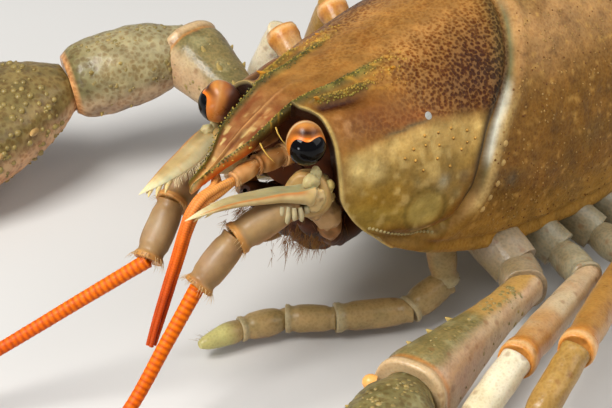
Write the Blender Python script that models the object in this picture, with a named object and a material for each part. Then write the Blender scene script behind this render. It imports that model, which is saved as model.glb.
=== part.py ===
"""A noble crayfish as a still, life-size model that stands on the floor.

The floor is z = 0 and +Z is up. The animal faces -Y, and its left side is +X. All sizes below are
millimetres. Along the body, y = 0 lies just in front of the eye sockets. At the end an empty carries
every piece, so that the origin is under the middle of the whole animal.
"""
import math

import bpy
import numpy as np

MM = 0.001
GAP = 0.3                # air between neighbouring pieces

# Driving sizes of the animal
SHELL_REAR = 50.0        # rear edge of the carapace, on the flank
ROSTRUM_TIP = -10.5
EYE_HEIGHT = 28.3
EYE_APART = 12.0
CORNEA = 3.7             # diameter
SHELL_WALL = 1.25
CLAW_LENGTH = 46.0
PLATE_WALL = 0.8         # tail fan

# Carapace along the body: top line, and half width of the strip that runs out into the rostrum
TOP_Y = (-10.5, -7.0, -4.5, -3.0, 0.7, 6.0, 12.0, 20.0, 30.0, 40.0, 50.5)
TOP_Z = (25.2, 26.7, 28.2, 29.0, 30.65, 31.2, 32.0, 33.2, 33.9, 33.3, 31.2)
STRIP = (0.3, 0.85, 1.95, 2.15, 2.4, 3.0, 3.5, 4.1, 4.7, 4.9, 4.6)
# Carapace across the body: half width, height of the widest line, lower edge, squareness
SIDE_Y = (0.0, 5.0, 10.0, 15.0, 20.0, 30.0, 40.0, 46.0, 50.5)
HALF_WIDTH = (8.2, 9.9, 11.2, 12.1, 12.8, 13.3, 13.1, 12.6, 11.9)
WIDEST_Z = (22.5, 21.3, 20.0, 18.8, 18.0, 16.8, 16.3, 16.6, 17.2)
LOWER_Z = (18.6, 16.2, 13.4, 11.3, 9.9, 8.3, 7.5, 7.9, 10.1)
SQUARE = (2.6, 2.4, 2.25, 2.15, 2.1, 2.05, 2.0, 2.0, 2.1)
TUCK = 0.12              # how far the lower edge turns in, as a share of the half width
Q_RIDGE = 0.22           # where the rostrum's ridge lies, from 0 on the back to 1 at the lower edge
Q_WIDE = 0.70            # where the widest line lies

# Front edge of the carapace and the groove across it, as y for each q
FRONT_Q = (0.22, 0.32, 0.45, 0.58, 0.72, 0.86, 1.0)
FRONT_Y = (0.7, 1.6, 1.5, 1.1, 1.2, 2.6, 5.8)
GROOVE_Q = (0.0, 0.22, 0.40, 0.55, 0.68, 0.80, 1.0)
GROOVE_Y = (29.5, 28.4, 24.8, 19.8, 17.4, 15.2, 12.5)
GROOVE_DEPTH = 0.7
GROOVE_WIDTH = 1.1

COLOURS = {
    "shell": ("#9A7146", 0.42),
    "belly": ("#C9B083", 0.5),
    "limb": ("#C8A56A", 0.45),
    "claw": ("#7C7A4B", 0.45),
    "antenna": ("#E0672A", 0.45),
    "scale": ("#D8CBA2", 0.45),
    "stalk": ("#C27A3A", 0.3),
    "cornea": ("#08080B", 0.08),
    "mouth": ("#6E4320", 0.6),
}


def curve(x, stations, values):
    """Smooth line through the stations: cubic pieces whose slopes come from the neighbours."""
    stations = np.asarray(stations, float)
    values = np.asarray(values, float)
    slopes = np.gradient(values, stations)
    x = np.clip(x, stations[0], stations[-1])
    k = np.clip(np.searchsorted(stations, x) - 1, 0, len(stations) - 2)
    span = stations[k + 1] - stations[k]
    t = (x - stations[k]) / span
    return ((2 * t**3 - 3 * t**2 + 1) * values[k] + (t**3 - 2 * t**2 + t) * span * slopes[k]
            + (3 * t**2 - 2 * t**3) * values[k + 1] + (t**3 - t**2) * span * slopes[k + 1])


def route(points, count):
    """That many points, evenly spread, on a smooth line through the given points."""
    points = np.asarray(points, float)
    steps = np.linalg.norm(np.diff(points, axis=0), axis=1)
    along = np.concatenate([[0.0], np.cumsum(steps)])
    t = np.linspace(0.0, along[-1], count)
    return np.stack([curve(t, along, points[:, k]) for k in range(3)], axis=1)


def unit(v):
    """The vector, or each row of vectors, at length one."""
    v = np.asarray(v, float)
    return v / np.linalg.norm(v, axis=-1, keepdims=True)


def linear(hex_colour):
    """An sRGB hex colour as linear red, green, blue and alpha."""
    srgb = [int(hex_colour[k:k + 2], 16) / 255 for k in (1, 3, 5)]
    return [c / 12.92 if c <= 0.04045 else ((c + 0.055) / 1.055) ** 2.4 for c in srgb] + [1.0]


def finish(name, kind):
    """A material of its own for one piece."""
    colour, roughness = COLOURS[kind]
    made = bpy.data.materials.new(name + "_surface")
    made.use_nodes = True
    shader = made.node_tree.nodes["Principled BSDF"]
    shader.inputs["Base Color"].default_value = linear(colour)
    shader.inputs["Roughness"].default_value = roughness
    shader.inputs["Metallic"].default_value = 0.0
    return made


def piece(name, points, triangles, kind=None):
    """An object from points in millimetres and triangles, turned so that its faces point out."""
    points = np.asarray(points, float)
    triangles = np.asarray(triangles, int)
    a, b, c = (points[triangles[:, k]] for k in range(3))
    if np.einsum("ij,ij->", a, np.cross(b, c)) < 0:
        triangles = triangles[:, ::-1]
    mesh = bpy.data.meshes.new(name)
    mesh.from_pydata((points * MM).tolist(), [], triangles.tolist())
    mesh.update()
    obj = bpy.data.objects.new(name, mesh)
    bpy.context.scene.collection.objects.link(obj)
    if kind:
        mesh.materials.append(finish(name, kind))
        mesh.shade_smooth()
        mesh.set_sharp_from_angle(angle=math.radians(50))
    return obj


def loft(rings):
    """Points and triangles of a closed body through like rings, with both ends filled."""
    rings = np.asarray(rings, float)
    count, around = rings.shape[:2]
    points = np.concatenate([rings.reshape(-1, 3), rings[:1].mean(axis=1), rings[-1:].mean(axis=1)])
    triangles = []
    for i in range(count - 1):
        for j in range(around):
            a, b = i * around + j, i * around + (j + 1) % around
            triangles += [(a, b, b + around), (a, b + around, a + around)]
    first, last = count * around, count * around + 1
    for j in range(around):
        k = (j + 1) % around
        triangles += [(first, k, j), (last, last - 1 - around + j, last - 1 - around + k)]
    return points, triangles


def sheet(outer, inner, used=None):
    """Points and triangles of a plate between two like grids, over the cells in use."""
    rows, columns = outer.shape[:2]
    size = rows * columns
    points = np.concatenate([outer.reshape(-1, 3), inner.reshape(-1, 3)])
    upper = []
    for i in range(rows - 1):
        for j in range(columns - 1):
            if used is None or used[i, j]:
                a = i * columns + j
                c = a + columns
                # the split follows the mirror, so that both flanks are alike
                if j < (columns - 1) / 2:
                    upper += [(a, a + 1, c + 1), (a, c + 1, c)]
                else:
                    upper += [(a, a + 1, c), (a + 1, c + 1, c)]
    lower = [(c + size, b + size, a + size) for a, b, c in upper]
    edges = {(t[k], t[(k + 1) % 3]) for t in upper for k in range(3)}
    rim = []
    for a, b in sorted(edges):
        if (b, a) not in edges:
            rim += [(b, a, a + size), (b, a + size, b + size)]
    triangles = np.array(upper + lower + rim)
    kept, triangles = np.unique(triangles, return_inverse=True)
    return points[kept], triangles.reshape(-1, 3)


def normals(grid):
    """Unit normals of a grid of points, from the differences along its rows and columns."""
    along = np.gradient(grid, axis=0)
    across = np.gradient(grid, axis=1)
    return unit(np.cross(along, across))


def section(y, q, inset=0.0):
    """Point of the left half of the carapace at y, with q from 0 on the back to 1 at the lower edge.

    Above the widest line the outline is a superellipse; below it the wall drops and tucks in.
    """
    top = curve(y, TOP_Y, TOP_Z) - inset
    wide = curve(y, SIDE_Y, HALF_WIDTH) - inset
    middle = curve(y, SIDE_Y, WIDEST_Z)
    lower = curve(y, SIDE_Y, LOWER_Z)
    power = curve(y, SIDE_Y, SQUARE)
    strip = curve(y, TOP_Y, STRIP)
    at_ridge = np.arcsin((strip / wide) ** (power / 2))
    share = np.clip((q - Q_RIDGE) / (Q_WIDE - Q_RIDGE), 0, 1)
    on_strip = np.arcsin((np.minimum(q / Q_RIDGE, 1) * strip / wide) ** (power / 2))
    angle = np.where(q < Q_RIDGE, on_strip, at_ridge + share * (math.pi / 2 - at_ridge))
    below = np.clip((q - Q_WIDE) / (1 - Q_WIDE), 0, 1)
    x = wide * np.sin(angle) ** (2 / power) * (1 - TUCK * below**2)
    z = middle + (top - middle) * np.clip(np.cos(angle), 0, 1) ** (2 / power) - (middle - lower) * below
    return np.stack([x, y + 0 * x, z], axis=-1)


def spine(base, tip, radius, sides=5):
    """A pointed spine whose root circle is centred on base."""
    base, tip = np.asarray(base, float), np.asarray(tip, float)
    along = unit(tip - base)
    side = unit(np.cross(along, (0.31, 0.17, 0.93)))
    up = np.cross(along, side)
    turn = np.linspace(0, 2 * math.pi, sides, endpoint=False)[:, None]
    circle = np.cos(turn) * side + np.sin(turn) * up
    return loft([base + radius * circle, tip + 0.15 * radius * circle])


def knob(centre, radius, along=(0, 0, 1)):
    """A low rounded knob: a squat spindle of two rings round its axis."""
    centre, along = np.asarray(centre, float), unit(along)
    side = unit(np.cross(along, (0.71, 0.37, 0.21)))
    up = np.cross(along, side)
    turn = np.linspace(0, 2 * math.pi, 5, endpoint=False)[:, None]
    circle = np.cos(turn) * side + np.sin(turn) * up
    profile = ((-0.9, 0.9), (0.35, 0.9), (0.95, 0.35))
    return loft([centre + radius * (h * along + r * circle) for h, r in profile])


def boolean(obj, others, operation):
    """Joins closed pieces to a piece, or cuts them from it, and removes them."""
    group = bpy.data.collections.new("pieces")
    bpy.context.scene.collection.children.link(group)
    for other in others:
        bpy.context.scene.collection.objects.unlink(other)
        group.objects.link(other)
    modifier = obj.modifiers.new("join", "BOOLEAN")
    modifier.operation = operation
    modifier.operand_type = "COLLECTION"
    modifier.collection = group
    for solver in ("EXACT", "MANIFOLD"):
        modifier.solver = solver
        bpy.context.view_layer.update()
        ready = obj.evaluated_get(bpy.context.evaluated_depsgraph_get())
        result = bpy.data.meshes.new_from_object(ready)
        if is_closed(result):
            break
    obj.modifiers.remove(modifier)
    obj.data = result
    for other in list(group.objects):
        bpy.data.objects.remove(other)
    bpy.data.collections.remove(group)
    keep_largest(obj)


def is_closed(mesh):
    """Whether every edge of a mesh joins exactly two faces."""
    if not len(mesh.polygons):
        return False
    edges = np.array([e for polygon in mesh.polygons for e in polygon.edge_keys])
    counts = np.unique(edges, axis=0, return_counts=True)[1]
    return bool((counts == 2).all())


def keep_largest(obj):
    """Keeps the closed surface with the most volume and drops any scrap."""
    mesh = obj.data
    mesh.calc_loop_triangles()
    points = np.empty(len(mesh.vertices) * 3)
    mesh.vertices.foreach_get("co", points)
    points = points.reshape(-1, 3)
    triangles = np.array([t.vertices[:] for t in mesh.loop_triangles])
    label = np.arange(len(points))
    while True:
        lowest = label[triangles].min(axis=1)
        new = label.copy()
        np.minimum.at(new, triangles.ravel(), np.repeat(lowest, 3))
        new = new[new]
        if (new == label).all():
            break
        label = new
    group = label[triangles[:, 0]]
    a, b, c = (points[triangles[:, k]] for k in range(3))
    volume = np.einsum("ij,ij->i", a, np.cross(b, c))
    groups = np.unique(group)
    largest = groups[np.argmax([volume[group == g].sum() for g in groups])]
    kept, faces = np.unique(triangles[group == largest], return_inverse=True)
    clean = bpy.data.meshes.new(mesh.name)
    clean.from_pydata(points[kept].tolist(), [], faces.reshape(-1, 3).tolist())
    for material in mesh.materials:
        clean.materials.append(material)
    clean.shade_smooth()
    clean.set_sharp_from_angle(angle=math.radians(50))
    obj.data = clean


def add_forms(obj, forms):
    """Fuses small closed forms, each a pair of points and triangles, with a piece."""
    boolean(obj, [piece("form", *form) for form in forms], "UNION")


def groove_depth(points):
    """How far the shell sinks along the groove, from the distance to the groove's line."""
    q = np.linspace(0, 1, 120)
    line = section(curve(q, GROOVE_Q, GROOVE_Y), q)
    low = section(np.linspace(14.8, 7.0, 40), 0.82 + 0.16 * np.linspace(0, 1, 40) ** 0.8)
    line = np.concatenate([line[q < 0.82], low])
    flank = np.abs(points) * (1, 0, 0) + points * (0, 1, 1)
    distance = np.linalg.norm(flank[..., None, :] - line, axis=-1).min(axis=-1)
    return -GROOVE_DEPTH * np.exp(-((distance / GROOVE_WIDTH) ** 2))


def ridge_height(y, q):
    """How far the rostrum's edges and keel and the ridges behind the eyes stand up."""
    edge = np.exp(-(((q - Q_RIDGE) / 0.03) ** 2)) * np.clip((13 - y) / 8, 0, 1)
    hollow = np.clip(1 - q / Q_RIDGE, 0, 1) * np.clip(q / 0.04, 0, 1) * np.clip((6 - y) / 8, 0, 1)
    keel = np.exp(-((q / 0.03) ** 2)) * np.clip((-1 - y) / 3, 0, 1)
    cheek = np.exp(-(((q - 0.30) / 0.025) ** 2)) * np.exp(-(((y - 5.5) / 3.2) ** 2))
    second = np.exp(-(((q - 0.29) / 0.025) ** 2)) * np.exp(-(((y - 14) / 2.2) ** 2))
    return 0.45 * edge - 0.35 * hollow + 0.3 * keel + 0.5 * cheek + 0.35 * second


def make_carapace():
    """The shell of head and thorax with the rostrum, open in front, below and behind."""
    half_q = np.array([0, 0.11, 0.22, 0.26, 0.30, 0.39, 0.49, 0.59, 0.69, 0.79, 0.90, 1.0])
    q = np.concatenate([half_q[:0:-1], half_q])
    side = np.concatenate([-np.ones(len(half_q) - 1), np.ones(len(half_q))])
    beak_y = np.linspace(ROSTRUM_TIP, 0.7, 7)[:-1]
    front = curve(q, FRONT_Q, FRONT_Y)
    groove = curve(q, GROOVE_Q, GROOVE_Y)
    rear = SHELL_REAR - 2.4 * np.exp(-((q / 0.25) ** 2)) - 2.5 * np.clip(q - 0.75, 0, 1) / 0.25
    head = np.array([0, 0.15, 0.33, 0.52, 0.70, 0.87, 1.0])[:, None]
    back = np.array([0.10, 0.28, 0.46, 0.64, 0.82, 1.0])[:, None]
    y = np.concatenate([np.repeat(beak_y[:, None], len(q), axis=1),
                        front + (groove - front) * head, groove + (rear - groove) * back])
    outer = section(y, q[None, :] + 0 * y)
    out = normals(outer * (side[None, :, None] * (1, 0, 0) + (0, 1, 1)))
    outer[..., 0] *= side
    out *= np.where(out[..., 2:3].mean() < 0, -1, 1)
    height = ridge_height(y, q[None, :])
    sunk = groove_depth(outer)
    beak = len(beak_y)
    lift = out.copy()
    lift[:beak + 1] = (0, 0, 1)
    inner = outer - SHELL_WALL * out
    outer = outer + height[..., None] * lift + sunk[..., None] * out
    # under the rostrum a keel hangs down, thinner towards the tip
    strip = np.abs(q) <= Q_RIDGE + 1e-6
    for i in range(beak + 1):
        share = i / beak
        depth = (0.5 + 1.5 * share) * (1 - 0.45 * (q[strip] / Q_RIDGE) ** 2)
        lowered = outer[i, strip] * (0.86, 1, 1)
        lowered[:, 2] -= depth + height[i, strip]
        inner[i, strip] = lowered
    used = np.ones((len(y) - 1, len(q) - 1), bool)
    used[:beak] = strip[:-1] & strip[1:]
    shell = piece("carapace", *sheet(outer, inner, used), "shell")
    add_forms(shell, list(shell_spines()))
    return shell


def shell_spines():
    """Spines on the rostrum's edges and behind the eyes, and tubercles on cheek and flank."""
    for side in (-1, 1):
        flip = np.array([side, 1, 1])
        for y, reach in ((-4.4, 1.2), (-6.1, 1.0)):
            root = section(np.array(y), np.array(Q_RIDGE)) * flip
            yield spine(root + (-0.35 * side, 0.5, -0.45), root + (0.55 * side, -reach, -0.25), 0.42)
        for y, q in ((2.9, 0.30), (12.4, 0.29)):
            root = section(np.array(y), np.array(q)) * flip
            yield spine(root + (-0.1 * side, 0.5, -0.2), root + (0.25 * side, -1.5, 0.75), 0.6)
        for y, q in ((9.0, 0.64), (13.0, 0.60), (11.0, 0.72), (21.0, 0.60), (19.8, 0.70), (18.0, 0.80)):
            root = section(np.array(y), np.array(q)) * flip
            out = unit(root - (0, y, 18.0))
            yield knob(root + 0.1 * out, 0.55, out)


def thorax_ring(y, grow=0.0):
    """Outline of the body inside the shell: an arch above, and the breast between the legs."""
    inset = SHELL_WALL + 0.55 - grow
    q = np.array([0.0, 0.12, 0.26, 0.38, 0.50, 0.62, 0.74, 0.84])
    arch = section(y + 0 * q, q, inset)
    arch[:, 0] -= (inset * 0.25) * (q > Q_WIDE)
    arch[:, 2] -= 0.7 * (q < Q_RIDGE) * (y < 4)      # room for the root of the rostrum's keel
    lower = float(curve(y, SIDE_Y, LOWER_Z)) + 0.9
    rise = 3.0 * min(max((10 - y) / 6, 0.0), 1.0)
    wide = float(curve(y, SIDE_Y, HALF_WIDTH))
    breast = [(0.76 * wide + grow, y, lower + 2.4 - grow),
              (0.55 * wide + grow, y, lower - 0.4 + rise - grow),
              (0.22 * wide + grow, y, lower - 1.6 + rise - grow)]
    half = np.concatenate([arch, breast])
    mirrored = half[:0:-1] * (-1, 1, 1)
    return np.concatenate([half, mirrored])


def thorax_form(grow=0.0):
    """The body inside the shell, or the same grown all round as a cutter for what meets it."""
    stations = (2.6, 5, 9, 14, 20, 27, 34, 41, 48.5)
    rings = [thorax_ring(y, grow) for y in stations]
    if grow:
        rings[0][:, 1] -= grow
        rings[-1][:, 1] += grow
    return loft(rings)


def shell_form(grow):
    """The shell's outside as one closed body, a cutter that keeps limbs clear of its lower edge."""
    rings = []
    for y in (6.5, 12, 18, 24, 30, 36, 42, 47, 50):
        q = np.array([0.0, 0.2, 0.4, 0.55, 0.7, 0.8, 0.9, 1.0])
        half = section(y + 0 * q, q, -grow) - np.stack([0 * q, 0 * q, grow * (q > 0.95)], axis=-1)
        rings.append(np.concatenate([half, half[:0:-1] * (-1, 1, 1)]))
    return loft(rings)


class Tube:
    """Rings of a limb along its joints. Each stretch swells from a narrow neck to a wide collar."""

    def __init__(self, joints, radii, sides=7, flat=1.0, up=(0, 0, 1)):
        self.joints = np.asarray(joints, float)
        self.heading = unit(np.diff(self.joints, axis=0))
        self.radii = radii
        self.turn = np.linspace(0, 2 * math.pi, sides, endpoint=False)[:, None] + math.pi / sides
        self.flat = flat
        self.side = unit(np.cross(self.heading[0], up))

    def plane(self, k):
        """Normal of the plane that halves the bend at joint k."""
        before = self.heading[max(k - 1, 0)]
        after = self.heading[min(k, len(self.heading) - 1)]
        return unit(before + after)

    def rings(self, first, last, open_start=False, open_end=False):
        """Rings from joint first to joint last, ending half a gap short where a piece follows."""
        made = []
        for k in range(first, last):
            along = self.heading[k]
            self.side = unit(self.side - (self.side @ along) * along)
            up = np.cross(self.side, along)
            circle = np.cos(self.turn) * self.side + self.flat * np.sin(self.turn) * up
            length = np.linalg.norm(self.joints[k + 1] - self.joints[k])
            for share, radius in self.radii[k]:
                centre = self.joints[k] + share * length * along
                offset = radius * circle
                if share in (0, 1):
                    normal = self.plane(k + share)
                    offset = offset - (offset @ normal)[:, None] / (along @ normal) * along
                    inside = 1 - 2 * share
                    ends_here = (share == 0 and k == first and open_start) or (
                        share == 1 and k == last - 1 and open_end)
                    centre = centre + inside * (GAP / 2 if ends_here else 0.35) / (along @ normal) * along
                made.append(centre + offset)
        return made


def stretch(neck, swell, collar):
    """Radii of one stretch of a limb, as pairs of share along it and radius."""
    return ((0, neck), (0.22, swell), (0.82, (swell + collar) / 2), (1, collar))


def taper(neck, middle, tip):
    """Radii of a last stretch that runs out to a blunt tip."""
    return ((0, neck), (0.25, middle), (0.7, (middle + tip) / 2), (0.97, tip))


def on_floor(form, floor=0.0):
    """Sets whatever would sink below the floor flat on it."""
    points, triangles = form
    points = points.copy()
    points[:, 2] = np.maximum(points[:, 2], floor)
    return points, triangles


def mirror(points, side):
    """The points for one side of the body: +1 is the left, as given, and -1 the right."""
    return [np.asarray(p, float) * (side, 1, 1) for p in points]


def cut_clear(obj, *forms):
    """Cuts a piece back by grown neighbours, so that it meets them with the usual gap."""
    for form in forms:
        boolean(obj, [piece("cutter", *form)], "DIFFERENCE")


# Joints of the legs: where each leaves the body, then one point per joint, with the tip last
LEFT_LEGS = (
    ((7.0, 29.2, 9.0), (13.2, 30.2, 5.6), (19.5, 27.0, 6.4), (27.6, 5.3, 10.5), (28.6, -3.4, 7.0),
     (30.6, -13.5, 0.35)),
    ((7.0, 34.5, 8.5), (13.2, 36.5, 5.0), (19.5, 34.5, 5.6), (31.4, 9.6, 11.3), (32.6, 1.6, 7.0),
     (36.0, -7.5, 0.35)),
    ((7.0, 40.0, 8.0), (12.8, 41.5, 4.6), (18.5, 43.0, 6.2), (31.0, 46.0, 14.0), (35.5, 49.5, 6.0),
     (38.5, 53.5, 0.3)),
    ((7.0, 45.0, 8.0), (12.4, 47.5, 4.6), (17.0, 51.0, 5.8), (26.5, 62.5, 12.5), (31.0, 69.5, 5.6),
     (34.0, 76.0, 0.3)),
)
RIGHT_LEGS = (
    ((7.0, 29.2, 9.0), (13.2, 30.2, 5.6), (18.5, 30.5, 7.0), (31.0, 33.0, 15.0), (34.0, 31.5, 7.0),
     (37.0, 29.5, 0.35)),
    ((7.0, 34.5, 8.5), (13.2, 36.0, 5.0), (18.5, 37.5, 6.4), (31.5, 42.0, 15.0), (35.0, 42.5, 7.0),
     (38.5, 43.0, 0.35)),
    ((7.0, 40.0, 8.0), (12.8, 42.0, 4.6), (18.0, 44.5, 6.0), (29.5, 53.0, 14.0), (33.5, 56.5, 6.0),
     (37.0, 60.0, 0.3)),
    ((7.0, 45.0, 8.0), (12.4, 48.0, 4.6), (16.5, 51.5, 5.6), (25.0, 65.5, 12.0), (29.0, 72.0, 5.4),
     (32.0, 78.0, 0.3)),
)
LEG_SIZES = (1.0, 0.97, 0.9, 0.84)
PINCER_LEGS = (0, 1)      # the first two pairs of walking legs end in small pincers


def make_leg(number, side, joints, size, cutters):
    """A walking leg: the upper part to the knee, and the lower part to the tip on the floor."""
    upper = (((0, 2.4 * size), (1, 2.1 * size)), stretch(1.5 * size, 1.75 * size, 1.7 * size),
             stretch(1.35 * size, 1.6 * size, 1.9 * size))
    shin = stretch(1.35 * size, 1.5 * size, 1.6 * size)
    foot = ((0, 1.15 * size), (0.2, 1.35 * size), (0.62, 1.15 * size), (0.97, 0.42))
    tube = Tube(mirror(joints, side), upper + (shin, foot))
    name = f"leg_{number + 2}_{'L' if side > 0 else 'R'}"
    thigh = piece(name + "_upper", *loft(tube.rings(0, 3, open_end=True)), "limb")
    cut_clear(thigh, *cutters)
    shank = piece(name + "_lower", *on_floor(loft(tube.rings(3, 5, open_start=True))), "limb")
    if number in PINCER_LEGS:
        knuckle, toe = tube.joints[4], tube.joints[5]
        along = unit(toe - knuckle)
        aside = unit(np.cross(along, (0, 0, 1))) * side
        root = knuckle + 0.52 * (toe - knuckle) - 0.35 * aside
        finger = Tube([root, root + 2.2 * along - 1.15 * aside, toe - 0.9 * aside + (0, 0, 0.15)],
                      (((0, 0.55), (1, 0.72)), ((0, 0.72), (0.97, 0.3))), sides=5)
        add_forms(shank, [on_floor(loft(finger.rings(0, 2)))])


def make_arm(side, joints, wrist, heading, mesial, cutters):
    """A cheliped: merus with its root joints, carpus, and the claw with its movable finger."""
    letter = "L" if side > 0 else "R"
    root = ((0, 2.8), (1, 2.5))
    ischium = ((0, 2.1), (0.5, 2.3), (1, 2.3))
    merus = ((0, 1.8), (0.3, 2.1), (0.62, 3.0), (0.84, 3.8), (1, 3.6))
    carpus = ((0, 2.7), (0.25, 3.9), (0.65, 4.5), (0.92, 4.1), (1, 3.1))
    tube = Tube(list(joints) + [wrist], (root, ischium, merus, carpus), sides=9)
    arm = piece(f"cheliped_{letter}_merus", *loft(tube.rings(0, 3, open_end=True)), "limb")
    cut_clear(arm, *cutters)
    add_forms(arm, list(arm_spines(tube, 2, 3.1, mesial, (0.50, 0.64, 0.78), 0.5)))
    wrist_rings = tube.rings(3, 4, open_start=True, open_end=True)
    wrist_part = piece(f"cheliped_{letter}_carpus", *loft(wrist_rings), "claw")
    add_forms(wrist_part, list(arm_spines(tube, 3, 4.4, mesial, (0.55, 0.8), 0.75)))
    make_claw(letter, tube.joints[4], tube.plane(4), heading, mesial)


def arm_spines(tube, k, radius, mesial, shares, size):
    """Spines in a row along the upper inner edge of one stretch of the arm, and one row below."""
    start, end = tube.joints[k], tube.joints[k + 1]
    along = tube.heading[k]
    inward = unit(mesial - (mesial @ along) * along)
    up = unit(np.cross(inward, along))
    up = up if up[2] > 0 else -up
    for share in shares:
        centre = start + share * (end - start)
        for tilt in (0.75, -0.55):
            out = unit(inward * math.cos(tilt) + up * math.sin(tilt))
            root = centre + out * radius * (0.72 + 0.14 * share)
            yield spine(root, root + out * (1.0 + size) + along * 0.7, size)


# Claw along its length: share, sideways place towards the thumb, half width, half thickness
PALM = ((0.0, 0.0, 2.7, 2.6), (0.05, 0.0, 4.4, 3.5), (0.13, 0.1, 6.6, 4.5), (0.24, 0.2, 8.4, 5.1),
        (0.36, 0.2, 9.3, 5.2), (0.484, 0.1, 9.0, 4.7), (0.491, -3.4, 5.6, 4.4), (0.499, -4.7, 4.3, 4.1),
        (0.64, -5.1, 3.7, 3.3), (0.80, -4.8, 2.8, 2.5), (0.91, -3.6, 1.9, 1.8), (0.98, -2.2, 0.95, 0.9),
        (1.0, -1.7, 0.4, 0.4))
THUMB = ((0.507, 4.6, 3.8, 3.7), (0.55, 5.0, 4.1, 3.7), (0.62, 5.0, 3.7, 3.3), (0.74, 4.4, 3.0, 2.7),
         (0.85, 3.2, 2.2, 2.0), (0.94, 1.6, 1.4, 1.3), (0.99, 0.2, 0.7, 0.7), (1.005, -0.3, 0.35, 0.35))
FIXED_TEETH = ((0.61, 0.95), (0.68, 1.2), (0.76, 0.95), (0.84, 0.7))
THUMB_TEETH = ((0.60, 0.8), (0.70, 1.0), (0.79, 0.7))


def make_claw(letter, wrist, joint_normal, heading, mesial):
    """The claw: palm with the fixed finger, and the thumb on the inner side."""
    along = unit(heading)
    inward = unit(mesial - (mesial @ along) * along)
    up = np.cross(inward, along)
    up = up if up[2] > 0 else -up
    start = wrist + along * GAP / 2

    def ring(share, shift, width, thick, sides=11, power=2.3):
        turn = np.linspace(0, 2 * math.pi, sides, endpoint=False) + math.pi / sides
        c = np.sign(np.cos(turn)) * np.abs(np.cos(turn)) ** (2 / power)
        s = np.sign(np.sin(turn)) * np.abs(np.sin(turn)) ** (2 / power)
        centre = start + share * CLAW_LENGTH * along + shift * inward
        points = centre + width * c[:, None] * inward + thick * s[:, None] * up
        if share == 0:
            # the wrist face lies in the plane that halves the bend of the wrist
            offset = (points - centre) @ joint_normal
            points = points - offset[:, None] / (along @ joint_normal) * along
        return points

    palm = piece(f"cheliped_{letter}_claw", *on_floor(loft([ring(*r) for r in PALM])), "claw")
    thumb = piece(f"cheliped_{letter}_thumb", *on_floor(loft([ring(*r, sides=9) for r in THUMB])), "claw")

    def inner_edge(table, share, sign):
        stations = np.array(table)
        shift, width = (curve(share, stations[:, 0], stations[:, k]) for k in (1, 2))
        return start + share * CLAW_LENGTH * along + (shift + sign * (width - 0.35)) * inward

    add_forms(palm, [knob(inner_edge(PALM[7:], s, 1), r, inward) for s, r in FIXED_TEETH]
              + list(palm_spines(start, along, inward, up)))
    add_forms(thumb, [knob(inner_edge(THUMB, s, -1), r, -inward) for s, r in THUMB_TEETH])


def palm_spines(start, along, inward, up):
    """Blunt spines along the palm's inner edge and knobs over its back."""
    stations = np.array(PALM)
    for share in (0.14, 0.24, 0.34, 0.43):
        width = curve(share, stations[:6, 0], stations[:6, 2])
        root = start + share * CLAW_LENGTH * along + (width - 0.55) * inward + 0.9 * up
        yield spine(root, root + 1.5 * inward + 0.7 * along + 0.5 * up, 0.75)
    for share, across in ((0.22, 0.3), (0.33, -0.25), (0.38, 0.4)):
        width = curve(share, stations[:6, 0], stations[:6, 2])
        thick = curve(share, stations[:6, 0], stations[:6, 3]) * (1 - abs(across) ** 2.3) ** (1 / 2.3)
        root = start + share * CLAW_LENGTH * along + across * width * inward + (thick - 0.1) * up
        yield knob(root, 0.7, up)


# Abdomen: axis from the thorax to the tail, then for each ring half width, height and pleuron depth
TAIL_AXIS = ((0, 49.6, 21.3), (0, 57.4, 20.6), (0, 65.4, 18.6), (0, 73.2, 15.6), (0, 81.0, 12.0),
             (0, 88.8, 8.6), (0, 97.0, 5.6))
RING_WIDTH = (11.2, 11.9, 11.6, 10.9, 10.0, 8.9)
RING_HEIGHT = (9.0, 9.2, 8.8, 8.0, 7.0, 5.6)
PLEURON = (1.2, 5.6, 5.4, 5.0, 4.2, 2.2)
BELLY = (4.6, 4.4, 4.2, 3.8, 3.4, 2.6)
RING_PROFILE = ((0.0, 0.89, 0.05), (1.0, 0.94, 0.4), (3.6, 0.99, 1.0), (6.2, 1.015, 0.85), (8.0, 1.0, 0.35))
LAST_TAPER = 0.26        # how much the sixth ring narrows towards the tail fan


def ring_outline(width, height, pleuron, belly):
    """Outline of a tail ring across the body, as pairs of x and height over the axis."""
    turn = np.linspace(0, math.pi / 2, 5)
    arch = [(width * math.sin(t), height * math.cos(t) ** 0.95) for t in turn]
    flap = [(0.985 * width, -2.4), (0.93 * width, -3.0 - pleuron), (0.86 * width, -2.9 - 0.95 * pleuron),
            (0.79 * width, -2.2), (0.42 * width, -belly)]
    half = arch + flap
    return half + [(0, -belly)] + [(-x, z) for x, z in half[:0:-1]]


def make_abdomen():
    """Six tail rings. Each narrows in front, where it goes under the rear edge of the one before."""
    axis = np.array(TAIL_AXIS, float)
    heading = unit(np.diff(axis, axis=0))
    for k in range(6):
        start, end = axis[k], axis[k + 1]
        enter = unit(heading[max(k - 1, 0)] + heading[k])
        leave = unit(heading[k] + heading[min(k + 1, 5)])
        length = np.linalg.norm(end - start)
        rings = []
        for place, scale, flap in RING_PROFILE:
            scale = scale - LAST_TAPER * (place / RING_PROFILE[-1][0]) ** 3 if k == 5 else scale
            share = np.clip(place / RING_PROFILE[-1][0], GAP / 2 / length, 1 - GAP / 2 / length)
            along = unit(enter * (1 - share) + leave * share)
            up = np.array([0, -along[2], along[1]])
            centre = start + share * (end - start)
            outline = ring_outline(RING_WIDTH[k] * scale, RING_HEIGHT[k] * scale,
                                   PLEURON[k] * flap, BELLY[k] * scale)
            rings.append([centre + (x, 0, 0) + h * up for x, h in outline])
        ring = piece(f"abdomen_{k + 1}", *loft(rings), "shell")
        if k < 5:
            add_forms(ring, list(swimmerets(k, start + 0.5 * (end - start), leave)))


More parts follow.
